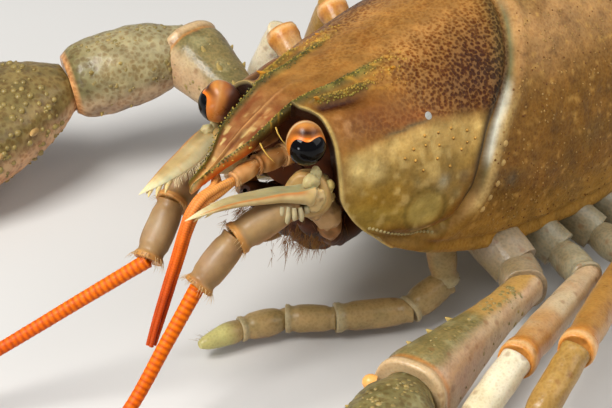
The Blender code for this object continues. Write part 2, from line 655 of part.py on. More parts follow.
def swimmerets(k, centre, along):
    """Paired swimmerets under a tail ring: a stem and a leaf that points back."""
    length = 5.0 if k else 3.4
    down = np.array([0, -along[2], along[1]]) * -1
    for side in (-1, 1):
        root = centre + (side * RING_WIDTH[k] * 0.45, 0, 0) + down * (BELLY[k] - 1.3)
        knee = root + down * 2.6 + np.array([side * 0.8, 0.2, 0])
        tip = knee + down * (length * 0.5) + along * (length * 0.75)
        yield loft(Tube([root, knee, tip], (((0, 0.8), (1, 0.7)), ((0, 0.7), (0.4, 1.0), (0.97, 0.45))),
                        sides=5, flat=0.75).rings(0, 2))


def fan_plate(name, root, heading, length, width, rise, ribs, square=0.62):
    """A rounded plate of the tail fan, with raised ribs along it and a crosswise seam or spines."""
    t = np.array([0, 0.15, 0.35, 0.60, 0.66, 0.72, 0.86, 0.95, 1.0])[:, None]
    u = np.linspace(-1, 1, 7)[None, :]
    outline = width * (0.42 + 0.58 * np.sin(np.clip(t / square, 0, 1) * math.pi / 2))
    rounding = np.clip(1 - ((t - square) / (1.02 - square)) ** 2, 0.02, 1)
    outline = outline * np.where(t > square, np.sqrt(rounding), 1)
    bow = 0.35 * width * (1 - u**2) * 0.25
    ribs_up = sum(0.45 * np.exp(-(((u - r) / 0.14) ** 2)) for r in ribs)
    ribs_up = ribs_up * np.sin(np.clip(t, 0, 1) * math.pi) ** 0.5
    seam = -0.3 * np.exp(-(((t - 0.66) / 0.03) ** 2))
    far = np.array([math.sin(heading), math.cos(heading), 0])
    across = np.array([math.cos(heading), -math.sin(heading), 0])
    drop = rise[0] + (rise[1] - rise[0]) * np.sin(np.clip(t * 1.15, 0, 1) * math.pi / 2)
    base = np.array(root) + length * t[..., None] * far + (outline * u)[..., None] * across
    lift = np.array([0, 0, 1.0])
    upper = base + (drop + bow + ribs_up + seam)[..., None] * lift
    lower = base + (drop + bow * 0.6 - PLATE_WALL)[..., None] * lift
    return piece(name, *on_floor(sheet(upper, lower)), "shell")


def make_fan():
    """The tail fan: telson in the middle, with two plates on each side that lie under it."""
    root = np.array(TAIL_AXIS[-1], float)
    telson = fan_plate("telson", (0, root[1] + 3 * GAP, 0), 0.0, 17.0, 5.9, (7.0, 4.9), (-0.45, 0.45), 0.72)
    spines = [spine((s * 5.0, root[1] + 11.6, 4.8), (s * 6.4, root[1] + 13.8, 4.6), 0.5) for s in (-1, 1)]
    add_forms(telson, spines)
    for side in (-1, 1):
        letter = "L" if side > 0 else "R"
        inner, outer = (side * 4.8, root[1] + GAP, 0), (side * 6.6, root[1] + GAP, 0)
        fan_plate(f"uropod_inner_{letter}", inner, side * 0.36, 17.0, 5.2, (4.9, 2.9), (0.0,))
        fan_plate(f"uropod_outer_{letter}", outer, side * 0.80, 17.5, 5.8, (2.6, 0.8), (0.0,))


def make_eye(side):
    """An eyestalk with its cap, and the dark cornea in front of it."""
    letter = "L" if side > 0 else "R"
    centre = np.array([EYE_APART / 2, -1.0, EYE_HEIGHT])
    out = unit((0.62, -0.66, -0.42))
    stem = unit(centre - (3.3, 3.0, 26.8))
    side_axis = unit(np.cross(out, (0, 0, 1)))
    up = np.cross(side_axis, out)
    turn = np.linspace(0, 2 * math.pi, 12, endpoint=False)[:, None]
    circle = np.cos(turn) * side_axis + np.sin(turn) * up
    flip = np.array([side, 1, 1])
    radius = CORNEA / 2
    angles = np.radians([0.0, 28, 52, 72, 84])
    dome = [centre + radius * (math.sin(a) * out + math.cos(a) * circle) for a in angles]
    piece(f"eye_{letter}", *loft(np.array(dome) * flip), "cornea")
    back = -GAP
    cap = [centre + out * back + radius * circle,
           centre + out * (back - 0.7) + radius * 1.12 * circle,
           centre + out * (back - 1.5) + radius * 0.98 * circle]
    stalk = cap + [centre - stem * 2.7 + 1.1 * circle,
                   centre - stem * 4.4 + 1.0 * circle]
    return piece(f"eyestalk_{letter}", *loft(np.array(stalk) * flip), "stalk")


def make_antennule(side, cutters):
    """A small feeler: a jointed stem under the rostrum that carries two whips."""
    letter = "L" if side > 0 else "R"
    stem = mirror([(2.3, 4.0, 25.2), (2.1, -0.4, 25.4), (1.75, -3.6, 25.5), (1.5, -6.4, 24.9)], side)
    tube = Tube(stem, (((0, 1.2), (1, 1.15)), stretch(0.9, 1.05, 1.0), stretch(0.7, 0.85, 0.75)), sides=7)
    obj = piece(f"antennule_{letter}", *loft(tube.rings(0, 3)), "antenna")
    whips = []
    for number in (0, 1):
        x = 1.35 - 0.95 * (side < 0)
        back = 0.95 * number
        points = [(1.5 * side - 0.1 * side * number, -5.6, 24.9 - 0.2 * number),
                  (0.15 + 0.95 * side, -9.6, 23.6 - back * 0.7), (x, -13.0, 20.7 - back),
                  (x + 0.15, -15.9 + back * 0.6, 17.2 - back * 0.5), (x + 0.1, -17.7 + back, 14.2),
                  (x - 0.1, -18.8 + back, 10.9)]
        line = route(points, 10)
        whips.append(sweep(line, np.linspace(0.42, 0.27, 10), 5))
    add_forms(obj, whips)
    cut_clear(obj, *cutters)
    return obj


def sweep(line, radii, sides, first=None):
    """Points and triangles of a round rod along a line, kept from twisting.

    The first heading, where given, turns the rod's root face to what it grows from.
    """
    heading = unit(np.gradient(line, axis=0))
    if first is not None:
        heading[0] = first
    side = unit(np.cross(heading[0], (0.2, 0.1, 1)))
    turn = np.linspace(0, 2 * math.pi, sides, endpoint=False)[:, None]
    rings = []
    for centre, along, radius in zip(line, heading, radii):
        side = unit(side - (side @ along) * along)
        up = np.cross(along, side)
        rings.append(centre + radius * (np.cos(turn) * side + np.sin(turn) * up))
    return loft(rings)


# The long feelers: stem joints of one side, and the lines of the two whips
BASE_ROOT = (5.0, 1.0, 22.1)
STEM_JOINTS = ((6.8, -1.9, 23.5), (4.3, -9.0, 20.6), (3.4, -13.2, 16.7))
STEM_RIGHT = ((-6.8, -1.9, 23.5), (-5.0, -8.6, 20.4), (-3.9, -12.9, 16.4))
WHIP_LINES = {
    "L": ((3.4, -13.2, 16.7), (3.1, -17.2, 12.0), (2.9, -21.8, 6.9), (2.6, -27.5, 2.9), (1.6, -36.0, 1.7),
          (-2.0, -50.0, 1.5), (-8.0, -64.0, 1.5), (-16.0, -76.0, 1.4)),
    "R": ((-3.9, -12.9, 16.4), (-8.0, -18.0, 12.4), (-13.0, -25.5, 7.4), (-17.5, -33.5, 3.2),
          (-22.0, -43.0, 1.7), (-27.5, -54.0, 1.5), (-35.0, -66.0, 1.5), (-44.0, -77.0, 1.4)),
}
WHIP_CUTS = 3
WHIP_POINTS = 8


def make_antenna(side):
    """A long feeler: base block, leaf-like scale, two-jointed stem, and the whip in three lengths."""
    letter = "L" if side > 0 else "R"
    joints = mirror([BASE_ROOT], side) + list(STEM_JOINTS if side > 0 else STEM_RIGHT)
    tube = Tube(joints, (((0, 1.7), (0.35, 2.1), (0.7, 2.25), (1, 1.75)),
                         stretch(1.3, 1.55, 1.6), stretch(1.35, 1.5, 1.45)), sides=9)
    piece(f"antenna_base_{letter}", *loft(tube.rings(0, 1, open_end=True)), "scale")
    piece(f"antenna_stem_{letter}", *loft(tube.rings(1, 3, open_start=True, open_end=True)), "scale")
    make_scale(side)
    line = route(WHIP_LINES[letter], WHIP_POINTS * WHIP_CUTS + 1)
    radii = np.interp(np.linspace(0, 1, len(line)), (0, 0.25, 1), (0.92, 0.8, 0.27))
    heading = unit(np.gradient(line, axis=0))
    for part in range(WHIP_CUTS):
        k = slice(part * WHIP_POINTS, (part + 1) * WHIP_POINTS + 1)
        points = line[k].copy()
        ahead = tube.heading[-1] if part == 0 else heading[k][0]
        points[0] += ahead * GAP / 2
        points[-1] -= heading[k][-1] * GAP / 2
        piece(f"antenna_{letter}_{part + 1}", *sweep(points, radii[k], 6, ahead), "antenna")


# Outer edge of each antennal scale, from root to tip as on the left side, and its breadth
SCALE_LINES = {"L": ((7.8, -2.8, 26.0), (2.7, -14.0, 24.4), 1.0),
               "R": ((6.9, -2.8, 26.0), (3.6, -14.0, 24.4), 0.8)}


def make_scale(side):
    """The antennal scale: a leaf that ends in a spine on its outer edge, over the stem."""
    letter = "L" if side > 0 else "R"
    t = np.array([0, 0.12, 0.28, 0.45, 0.62, 0.78, 0.90, 1.0])[:, None]
    u = np.linspace(0, 1, 5)[None, :]
    start, tip, breadth = SCALE_LINES[letter]
    width = breadth * curve(t, (0, 0.15, 0.4, 0.7, 0.9, 1.0), (1.8, 3.0, 3.8, 2.7, 1.1, 0.4))
    start, tip = np.array(start), np.array(tip)
    inward = np.array([-0.906, 0.394, -0.17])
    up = unit(np.cross(inward, tip - start))
    up = up if up[2] > 0 else -up
    line = start + (tip - start) * t[..., None]
    line = line + 0.55 * np.sin(t[..., None] * math.pi) * np.array([0.9, -0.4, 0.2])
    base = line + (width * u)[..., None] * inward
    thick = 0.75 + 0.45 * np.exp(-((u / 0.25) ** 2)) - 0.25 * t
    rib = 0.25 * np.exp(-(((u - 0.12) / 0.15) ** 2))
    upper = base + (0.5 * thick + rib)[..., None] * up
    lower = base - (0.5 * thick)[..., None] * up
    flip = np.array([side, 1, 1])
    return piece(f"antennal_scale_{letter}", *sheet(upper * flip, lower * flip), "scale")


# Third maxillipeds: the left one reaches down over the floor, the right one is folded up
FEELER_LEFT = ((6.2, 18.2, 12.5), (7.2, 18.8, 4.2), (6.3, 14.2, 2.4), (1.6, 7.8, 2.3), (-2.1, 4.3, 2.2),
               (-4.2, -0.3, 2.1), (-5.3, -5.0, 1.9))
FEELER_RIGHT = ((-6.2, 15.4, 12.6), (-5.6, 7.2, 11.2), (-4.6, 2.2, 12.6), (-3.6, -0.6, 15.4))


# Smaller mouthparts on the left side: an inner and an outer pair
JAW_LINES = (((1.8, 9.0, 16.0), (1.9, 5.5, 14.4), (1.8, 1.6, 16.4)),
             ((4.4, 9.5, 15.6), (4.4, 4.6, 15.6), (3.9, 0.4, 18.6)))
JAW_WIDTHS = ((((0, 2.0), (1, 2.1)), ((0, 2.1), (0.5, 1.9), (0.97, 0.9))),
              (((0, 1.5), (1, 1.5)), ((0, 1.5), (0.5, 1.3), (0.97, 0.8))))


def make_mouth(cutters):
    """The third maxillipeds, and the cluster of smaller mouthparts under the head."""
    widths = (stretch(1.5, 1.6, 1.5), stretch(1.4, 1.55, 1.5), stretch(1.25, 1.5, 1.5),
              stretch(1.2, 1.4, 1.45), stretch(1.1, 1.4, 1.3), taper(1.0, 1.15, 0.5))
    left = Tube(FEELER_LEFT, widths, sides=8)
    piece_left = piece("maxilliped_L", *loft(left.rings(0, 6)), "limb")
    widths = (stretch(1.6, 1.7, 1.5), stretch(1.2, 1.4, 1.3), taper(1.1, 1.1, 0.5))
    right = Tube(FEELER_RIGHT, widths, sides=8)
    piece_right = piece("maxilliped_R", *loft(right.rings(0, 3)), "mouth")
    for obj in (piece_left, piece_right):
        cut_clear(obj, *cutters)
    lobes = []
    for side in (-1, 1):
        for joints, widths in zip(JAW_LINES, JAW_WIDTHS):
            lobes.append(loft(Tube(mirror(joints, side), widths, sides=8).rings(0, 2)))
    mouth = piece("mouthparts", *lobes[0], "mouth")
    add_forms(mouth, lobes[1:])
    cut_clear(mouth, *cutters)


# Joints of the two chelipeds; the left claw lies forward on the floor, the right one reaches out
LEFT_ARM = ((7.0, 23.0, 10.6), (13.6, 22.6, 7.2), (17.0, 19.8, 7.2), (21.4, -3.0, 7.5))
LEFT_WRIST = (26.2, -14.4, 7.2)
LEFT_CLAW = (-0.14, -0.98, -0.05)
RIGHT_ARM = ((-7.0, 23.0, 10.6), (-13.6, 22.6, 7.6), (-17.4, 21.2, 8.6), (-37.0, 23.6, 14.1))
RIGHT_WRIST = (-43.8, 11.6, 11.4)
RIGHT_CLAW = (-0.357, -0.905, -0.235)


def centre_all():
    """Carries every piece on one empty, so that the origin is below the middle of the animal."""
    solids = [o for o in bpy.context.scene.objects if o.type == "MESH"]
    corners = np.array([v.co[:] for o in solids for v in o.data.vertices])
    middle = (corners.min(axis=0) + corners.max(axis=0)) / 2
    stand = bpy.data.objects.new("crayfish", None)
    bpy.context.scene.collection.objects.link(stand)
    stand.location = (-middle[0], -middle[1], -corners[:, 2].min())
    for obj in solids:
        obj.parent = stand


def main():
    """Builds the whole animal."""
    for obj in list(bpy.data.objects):
        bpy.data.objects.remove(obj)
    body_cutter = thorax_form(GAP)
    cutters = (body_cutter, shell_form(GAP))
    make_carapace()
    piece("thorax", *thorax_form(), "belly")
    make_abdomen()
    make_fan()
    for side in (-1, 1):
        cut_clear(make_eye(side), body_cutter)
        make_antennule(side, (body_cutter,))
        make_antenna(side)
        legs = LEFT_LEGS if side > 0 else RIGHT_LEGS
        for number, joints in enumerate(legs):
            make_leg(number, side, joints, LEG_SIZES[number], cutters)
    make_mouth((body_cutter,))
    make_arm(1, LEFT_ARM, LEFT_WRIST, LEFT_CLAW, np.array([-1.0, 0, 0]), cutters)
    make_arm(-1, RIGHT_ARM, RIGHT_WRIST, RIGHT_CLAW, np.array([1.0, 0, 0]), cutters)
    centre_all()


main()
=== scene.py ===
# %% [markdown]
# # A noble crayfish, seen close
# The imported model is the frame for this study. Every plate, limb and feeler is drawn again on a finer
# grid, from the same measurements, and then gets its colours, pits, granules and hairs.
#
# Lengths are millimetres in the animal's own frame: it faces -Y, its left side is +X, the floor is z = 0,
# and y = 0 lies just in front of the eye sockets.

# %% Load the frame
import math

import bpy
from mathutils import Matrix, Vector
import numpy as np


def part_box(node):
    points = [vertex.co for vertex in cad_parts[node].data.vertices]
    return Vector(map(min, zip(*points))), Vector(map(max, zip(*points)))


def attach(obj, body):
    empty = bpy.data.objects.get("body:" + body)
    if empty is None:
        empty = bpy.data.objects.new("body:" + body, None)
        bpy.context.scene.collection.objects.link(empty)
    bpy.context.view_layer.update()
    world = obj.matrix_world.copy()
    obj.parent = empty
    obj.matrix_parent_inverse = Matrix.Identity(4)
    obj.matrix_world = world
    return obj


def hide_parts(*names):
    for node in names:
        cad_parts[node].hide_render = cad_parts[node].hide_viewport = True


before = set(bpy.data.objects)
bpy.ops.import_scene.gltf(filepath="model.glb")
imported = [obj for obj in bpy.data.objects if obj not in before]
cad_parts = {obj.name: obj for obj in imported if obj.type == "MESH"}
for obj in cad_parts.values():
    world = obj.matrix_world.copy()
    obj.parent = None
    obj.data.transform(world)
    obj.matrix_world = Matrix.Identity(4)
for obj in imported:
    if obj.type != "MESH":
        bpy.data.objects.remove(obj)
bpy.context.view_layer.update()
shell_low, shell_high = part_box("carapace")
ROSTRUM_TIP = -10.5
MM = 0.001
ORIGIN = np.array([(shell_low.x + shell_high.x) / 2, shell_low.y - ROSTRUM_TIP * MM, 0.0])
SIDES = ((1, "L"), (-1, "R"))
print("nodes:", len(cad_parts), "origin of the animal's frame:", ORIGIN.round(4))

# %% [markdown]
# ## Small mathematics
# An animal has no straight edges, so its shapes are smooth curves through tables of measurements. A curve
# modifier or a sculpt could bend a mesh, but a table keeps every size in sight and gives the same mesh each
# time. Soft bells and steps then place a swelling or a colour.

# %% Curves, bells and steps


def curve(x, stations, values):
    """Smooth line through the stations: cubic pieces whose slopes come from the neighbours."""
    stations, values = np.asarray(stations, float), np.asarray(values, float)
    slopes = np.gradient(values, stations)
    x = np.clip(x, stations[0], stations[-1])
    k = np.clip(np.searchsorted(stations, x) - 1, 0, len(stations) - 2)
    span = stations[k + 1] - stations[k]
    t = (x - stations[k]) / span
    return ((2 * t**3 - 3 * t**2 + 1) * values[k] + (t**3 - 2 * t**2 + t) * span * slopes[k]
            + (3 * t**2 - 2 * t**3) * values[k + 1] + (t**3 - t**2) * span * slopes[k + 1])


def route(points, count):
    """That many points, evenly spread, on a smooth line through the given points."""
    points = np.asarray(points, float)
    along = np.concatenate([[0.0], np.cumsum(np.linalg.norm(np.diff(points, axis=0), axis=1))])
    t = np.linspace(0.0, along[-1], count)
    return np.stack([curve(t, along, points[:, k]) for k in range(3)], axis=1)


def unit(v):
    """The vector, or each row of vectors, at length one."""
    v = np.asarray(v, float)
    return v / np.maximum(np.linalg.norm(v, axis=-1, keepdims=True), 1e-12)


def level(v):
    """The level direction at right angles to a vector, on the right hand of one who walks along it."""
    return unit(np.cross(v, (0, 0, 1)))


def upright(v):
    """The vector, turned round where it points down."""
    return v if v[2] > 0 else -v


def turns(count):
    """That many angles, evenly spread round a circle."""
    return np.linspace(0, 2 * math.pi, count, endpoint=False)


def bell(x, centre, width):
    """One at the centre, falling to nothing over the width."""
    return np.exp(-(((x - centre) / width) ** 2))


def step(x, low, high):
    """From nought at low to one at high, with soft ends."""
    t = np.clip((x - low) / (high - low), 0, 1)
    return t * t * (3 - 2 * t)


def window(x, low, full, fading, high):
    """One between full and fading, and nought below low and above high."""
    return step(x, low, full) * step(x, high, fading)


def normals(grid):
    """Unit normals of a grid of points, from the differences along its rows and columns."""
    return unit(np.cross(np.gradient(grid, axis=0), np.gradient(grid, axis=1)))


print("half way up a soft step:", step(0.5, 0.0, 1.0))

# %% [markdown]
# Nothing on the animal is even, so one seeded noise field stirs both its shapes and its tints. Blender's
# own noise nodes could do this for the colour, but a field in numpy can also move the points of a mesh.

# %% Noise and colours


def noise(points, size, seed=0.0):
    """A smooth random field between -1 and 1, whose blobs are about size millimetres wide."""
    cell = np.asarray(points, float) / size
    base = np.floor(cell)
    part = cell - base
    part = part * part * (3 - 2 * part)
    total = 0.0
    for corner in np.ndindex(2, 2, 2):
        wave = np.sin((base + corner) @ np.array([127.1, 311.7, 74.7]) + 19.19 * seed) * 43758.5453
        weight = np.prod(np.where(corner, part, 1 - part), axis=-1)
        total = total + weight * (wave - np.floor(wave))
    return 2 * total - 1


def rgb(code):
    """An sRGB hex colour as linear red, green and blue. A colour that is linear already stays as it is."""
    if not isinstance(code, str):
        return code
    srgb = np.array([int(code[k:k + 2], 16) / 255 for k in (1, 3, 5)])
    return np.where(srgb <= 0.04045, srgb / 12.92, ((srgb + 0.055) / 1.055) ** 2.4)


def mix(a, b, amount):
    """Colour a turned towards colour b by an amount from nought to one."""
    amount = np.clip(np.asarray(amount, float), 0, 1)[..., None]
    return rgb(a) * (1 - amount) + rgb(b) * amount


def shades(a, b, field):
    """Two colours that take turns over a field between -1 and 1."""
    return mix(a, b, 0.5 + 0.5 * field)


def coats(colour, *layers):
    """A colour under thin coats of others, each given as its hex code and its amount."""
    for code, amount in layers:
        colour = mix(colour, code, amount)
    return colour


print("noise at the origin:", round(float(noise(np.zeros(3), 1.0)), 3))

# %% [markdown]
# ## Building pieces
# A piece of the animal is a shell with thousands of small things on it. Separate objects would be slow and
# heavy, so a form gathers grids and repeated small shapes, with a tint for every point, and becomes one
# mesh. A studded grain has few faces, because there are hundreds of them.

# %% The form


def capped(rings):
    """The rings with one more at each end, drawn in to its middle."""
    first, last = rings[:1].mean(axis=1, keepdims=True), rings[-1:].mean(axis=1, keepdims=True)
    return np.concatenate([first + 0.01 * (rings[:1] - first), rings, last + 0.01 * (rings[-1:] - last)])


def squares(rows, columns, wrap=False):
    """The four-cornered faces of a grid of points, which closes across its columns where wrap is set."""
    i, j = np.meshgrid(np.arange(rows - 1), np.arange(columns if wrap else columns - 1), indexing="ij")
    a, b = i * columns + j, i * columns + (j + 1) % columns
    return np.stack([a, b, b + columns, a + columns], axis=-1).reshape(-1, 4)


def triangles(faces):
    """Each four-cornered face as two triangles."""
    return np.concatenate([faces[:, [0, 1, 2]], faces[:, [0, 2, 3]]])


class Form:
    """Points, triangles and tints of one piece."""

    def __init__(self, pits=1.0):
        """An empty form. pits is the strength of the pits where a tint doesn't give it."""
        self.points, self.tints, self.faces, self.count, self.pits = [], [], [], 0, pits

    def add(self, points, faces, tint, closed=True):
        """Adds a surface. A closed one is turned so that its faces point out."""
        points = np.asarray(points, float).reshape(-1, 3)
        a, b, c = (points[faces[:, k]] for k in range(3))
        normal = np.cross(b - a, c - a)
        keep = np.linalg.norm(normal, axis=1) > 1e-9
        if closed and np.einsum("ij,ij->", a - points.mean(axis=0), normal) < 0:
            faces = faces[:, ::-1]
        tint = np.asarray(tint, float)
        if tint.shape[-1] == 3:
            tint = np.concatenate([tint, np.full(tint.shape[:-1] + (1,), self.pits)], axis=-1)
        self.points.append(points)
        self.tints.append(np.broadcast_to(tint.reshape(-1, 4), (len(points), 4)))
        self.faces.append(faces[keep] + self.count)
        self.count += len(points)

    def grid(self, points, tint, wrap=False, closed=True):
        """A surface through a grid of points, which closes across its columns where wrap is set."""
        self.add(points, triangles(squares(*points.shape[:2], wrap)), rgb(tint), closed)

    def tube(self, rings, tint, flip=1):
        """A surface through closed rings, with both ends drawn in."""
        self.grid(capped(rings) * flip, np.concatenate([tint[:1], tint, tint[-1:]]), wrap=True)

    def plate(self, outer, inner, tint, inner_tint):
        """A plate between two like grids, with its rim closed."""
        rows, columns = outer.shape[:2]
        size = rows * columns
        index, faces = np.arange(size).reshape(rows, columns), squares(rows, columns)
        loop = np.concatenate([index[0], index[1:, -1], index[-1, -2::-1], index[-2:0:-1, 0]])
        after = np.roll(loop, -1)
        rim = np.stack([loop, after, after + size, loop + size], axis=-1)
        tints = np.concatenate([np.broadcast_to(rgb(shade), outer.shape).reshape(-1, 3)
                                for shade in (tint, inner_tint)])
        self.add(np.concatenate([outer.reshape(-1, 3), inner.reshape(-1, 3)]),
                 triangles(np.concatenate([faces[:, ::-1], faces + size, rim])), tints)

    def studs(self, centres, outs, radius, length, tint, profile, sides=7, lean=(0, 0, 0)):
        """Many like shapes of a (width, height) profile, each standing along its own direction."""
        centres, outs = np.atleast_2d(centres), unit(np.atleast_2d(outs))
        count, rings = len(centres), len(profile)
        radius, length = np.broadcast_to(radius, count), np.broadcast_to(length, count)
        lean = np.broadcast_to(lean, (count, 3))
        side = unit(np.cross(outs, (0.31, 0.17, 0.93)))
        up = np.cross(outs, side)
        turn = turns(sides)[None, :, None]
        circle = np.cos(turn) * side[:, None] + np.sin(turn) * up[:, None]
        rows = [centres[:, None] + (w * radius)[:, None, None] * circle
                + (h * length)[:, None, None] * outs[:, None] + max(h, 0) ** 2 * lean[:, None]
                for w, h in profile]
        one = triangles(squares(rings, sides, wrap=True))
        faces = (one[None] + np.arange(count)[:, None, None] * rings * sides).reshape(-1, 3)
        tint = np.broadcast_to(np.asarray(rgb(tint), float), (count, 3))
        tint = np.concatenate([tint, np.zeros((count, 1))], axis=1)
        self.add(np.stack(rows, axis=1), faces, np.repeat(tint, rings * sides, axis=0), closed=False)

    def piece(self, name, material, slot, *nodes):
        """The mesh of the whole form, riding on the body in place of the nodes that it stands for."""
        points = np.maximum(np.concatenate(self.points), (-999, -999, 0)) * MM + ORIGIN
        faces = np.concatenate(self.faces)
        mesh = bpy.data.meshes.new(name)
        mesh.vertices.add(len(points))
        mesh.vertices.foreach_set("co", points.ravel())
        mesh.loops.add(faces.size)
        mesh.loops.foreach_set("vertex_index", faces.ravel().astype(np.int32))
        mesh.polygons.add(len(faces))
        mesh.polygons.foreach_set("loop_start", np.arange(0, faces.size, 3, dtype=np.int32))
        mesh.polygons.foreach_set("loop_total", np.full(len(faces), 3, np.int32))
        mesh.update(calc_edges=True)
        mesh.shade_smooth()
        tint = mesh.attributes.new("tint", "FLOAT_COLOR", "POINT")
        tint.data.foreach_set("color", np.concatenate(self.tints).ravel())
        mesh.materials.append(material)
        made = bpy.data.objects.new(name, mesh)
        bpy.context.scene.collection.objects.link(made)
        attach(made, "root")
        if nodes:
            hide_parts(*nodes)
        TALLY.append((name, len(faces)))


TALLY = []  # the name and the number of triangles of each piece
DOME = ((1.0, -0.35), (0.98, 0.15), (0.82, 0.55), (0.5, 0.86), (0.02, 1.0))
SPINE = ((1.05, -0.25), (0.95, 0.1), (0.72, 0.4), (0.42, 0.72), (0.16, 0.95), (0.01, 1.0))
HAIR = ((1.0, 0.0), (0.85, 0.3), (0.6, 0.65), (0.1, 1.0))
LOBE = ((0.7, 0.0), (1.0, 0.3), (1.0, 0.6), (0.75, 0.88), (0.05, 1.0))
print("steps of a hair:", len(HAIR))

# %% [markdown]
# ## Materials
# A crayfish wears chitin hardened with lime. It is a dull, slightly see-through shell, glossy where it is
# wet, and pitted where bristles grow. An image could carry its colours, but here each point has a tint, and
# the shader adds the fine work: clouds, dark pits in cells of a size in millimetres, and a bump that
# follows them. The alpha of the tint says how strong the pits are.

# %% Shader helpers


def fill(made, inputs):
    """Fills a node's inputs, by name or in their order, each with a value or a link."""
    for key, value in inputs.items() if isinstance(inputs, dict) else enumerate(inputs):
        if isinstance(value, bpy.types.NodeSocket):
            made.id_data.links.new(value, made.inputs[key])
        else:
            made.inputs[key].default_value = value


def node(tree, kind, inputs=(), out=0, **settings):
    """Adds a node with its settings, values and links, and gives one of its outputs."""
    made = tree.nodes.new("ShaderNode" + kind)
    for key, value in settings.items():
        setattr(made, key, value)
    fill(made, inputs)
    return made.outputs[out]


def new_material(name):
    """An empty shader tree with its surface and the coordinates of the piece."""
    made = bpy.data.materials.new(name)
    made.use_nodes = True
    tree = made.node_tree
    return made, tree, tree.nodes["Principled BSDF"], node(tree, "TexCoord", (), "Object")


def per_metre(size_mm):
    """Cells per metre of a pattern whose cells are that many millimetres wide."""
    return 1000.0 / size_mm


def clouded(tree, colour, cloud, dark, light):
    """A colour times a factor that a cloud of noise swings between two values."""
    shade = node(tree, "MapRange", (cloud, 0.3, 0.7, dark, light))
    grey = node(tree, "CombineColor", (shade, shade, shade))
    return node(tree, "Mix", {0: 1.0, 6: colour, 7: grey}, 2, data_type="RGBA", blend_type="MULTIPLY")


PIT_FILTER = (0.43, 0.23, 0.04, 1.0)  # the shares of red, green and blue light that a pit gives back
NET_TONE = (*rgb("#B4854E"), 1.0)
print("clouds of 2.2 mm are", round(per_metre(2.2)), "per metre")

# %% Pitted chitin


def chitin(name, pit=0.5, dark=0.5, depth=0.5, net=0.0, mottle=0.3, fleck=None, rough=(0.3, 0.5),
           grain=0.12, coat=0.1, under=0.12, gloss=0.35):
    """Shell: painted tint, clouds, dark pits in a pale net, and an uneven damp gloss. Sizes are in mm."""
    made, tree, shader, where = new_material(name)
    paint = node(tree, "Attribute", attribute_name="tint")
    pitted = paint.node.outputs["Alpha"]
    cloud = node(tree, "TexNoise", {"Vector": where, "Scale": per_metre(2.2), "Detail": 5.0,
                                    "Roughness": 0.62})
    fine = node(tree, "TexNoise", {"Vector": where, "Scale": per_metre(0.35), "Detail": 3.0,
                                   "Roughness": 0.6})
    colour = clouded(tree, paint, cloud, 1 - mottle, 1 + 0.45 * mottle)
    wobble = node(tree, "TexNoise", {"Vector": where, "Scale": per_metre(0.7), "Detail": 2.0}, "Color")
    shift = node(tree, "VectorMath", {0: wobble, "Scale": 0.95 * pit * MM}, operation="SCALE")
    bend = node(tree, "VectorMath", (where, shift), operation="ADD")
    cells = node(tree, "TexVoronoi", {"Vector": bend, "Scale": per_metre(pit)})
    hole = node(tree, "MapRange", (cells, 0.30, 0.62, 1.0, 0.0))
    strength = node(tree, "MapRange", (fine, 0.25, 0.6, 0.35 * dark, dark))
    amount = node(tree, "Math", (hole, strength), operation="MULTIPLY")
    amount = node(tree, "Math", (amount, pitted), operation="MULTIPLY")
    if net:
        pale = node(tree, "MapRange", (cells, 0.52, 0.72, 0.0, net))
        pale = node(tree, "Math", (pale, pitted), operation="MULTIPLY")
        colour = node(tree, "Mix", {0: pale, 6: colour, 7: NET_TONE}, 2, data_type="RGBA")
    deep = node(tree, "Mix", {0: 1.0, 6: colour, 7: PIT_FILTER}, 2, data_type="RGBA", blend_type="MULTIPLY")
    colour = node(tree, "Mix", {0: amount, 6: colour, 7: deep}, 2, data_type="RGBA")
    if fleck:
        size, code, strongest = fleck
        spots = node(tree, "TexVoronoi", {"Vector": bend, "Scale": per_metre(size)})
        spot = node(tree, "MapRange", (spots, 0.10, 0.22, strongest, 0.0))
        colour = node(tree, "Mix", {0: spot, 6: colour, 7: (*rgb(code), 1.0)}, 2, data_type="RGBA")
    dents = node(tree, "Bump", {"Height": amount, "Strength": depth, "Distance": -0.08 * MM})
    fill(shader, {
        "Base Color": colour, "Roughness": node(tree, "MapRange", (cloud, 0.3, 0.75, *rough)),
        "Specular IOR Level": gloss, "Coat Weight": coat, "Coat Roughness": 0.25,
        "Subsurface Weight": under, "Subsurface Radius": (1.0, 0.6, 0.3), "Subsurface Scale": 0.5 * MM,
        "Normal": node(tree, "Bump", {"Height": fine, "Strength": grain * 4, "Distance": 0.05 * MM,
                                      "Normal": dents})})
    return made


print("pits of 0.36 mm are", round(per_metre(0.36)), "per metre")

# %% Plain chitin


def plain(name, rough, coat=0.0, under=0.0, bump=None, gloss=0.5, uneven=0.12):
    """A smooth surface that shows its painted tint, with a fine bump of a size in mm where one is given."""
    made, tree, shader, where = new_material(name)
    tint = node(tree, "Attribute", attribute_name="tint")
    cloud = node(tree, "TexNoise", {"Vector": where, "Scale": per_metre(0.9), "Detail": 4.0})
    fill(shader, {
        "Base Color": clouded(tree, tint, cloud, 1 - uneven, 1 + 0.8 * uneven),
        "Roughness": node(tree, "MapRange", (cloud, 0.3, 0.7, rough * 0.85, rough * 1.2)),
        "Specular IOR Level": gloss, "Coat Weight": coat, "Coat Roughness": 0.08,
        "Subsurface Weight": under, "Subsurface Radius": (1.0, 0.55, 0.25), "Subsurface Scale": 0.7 * MM})
    if bump:
        grain = node(tree, "TexNoise", {"Vector": where, "Scale": per_metre(bump), "Detail": 3.0})
        relief = node(tree, "Bump", {"Height": grain, "Strength": 0.5, "Distance": 0.05 * MM})
        fill(shader, {"Normal": relief})
    return made


print("bumps of 0.25 mm are", round(per_metre(0.25)), "per metre")

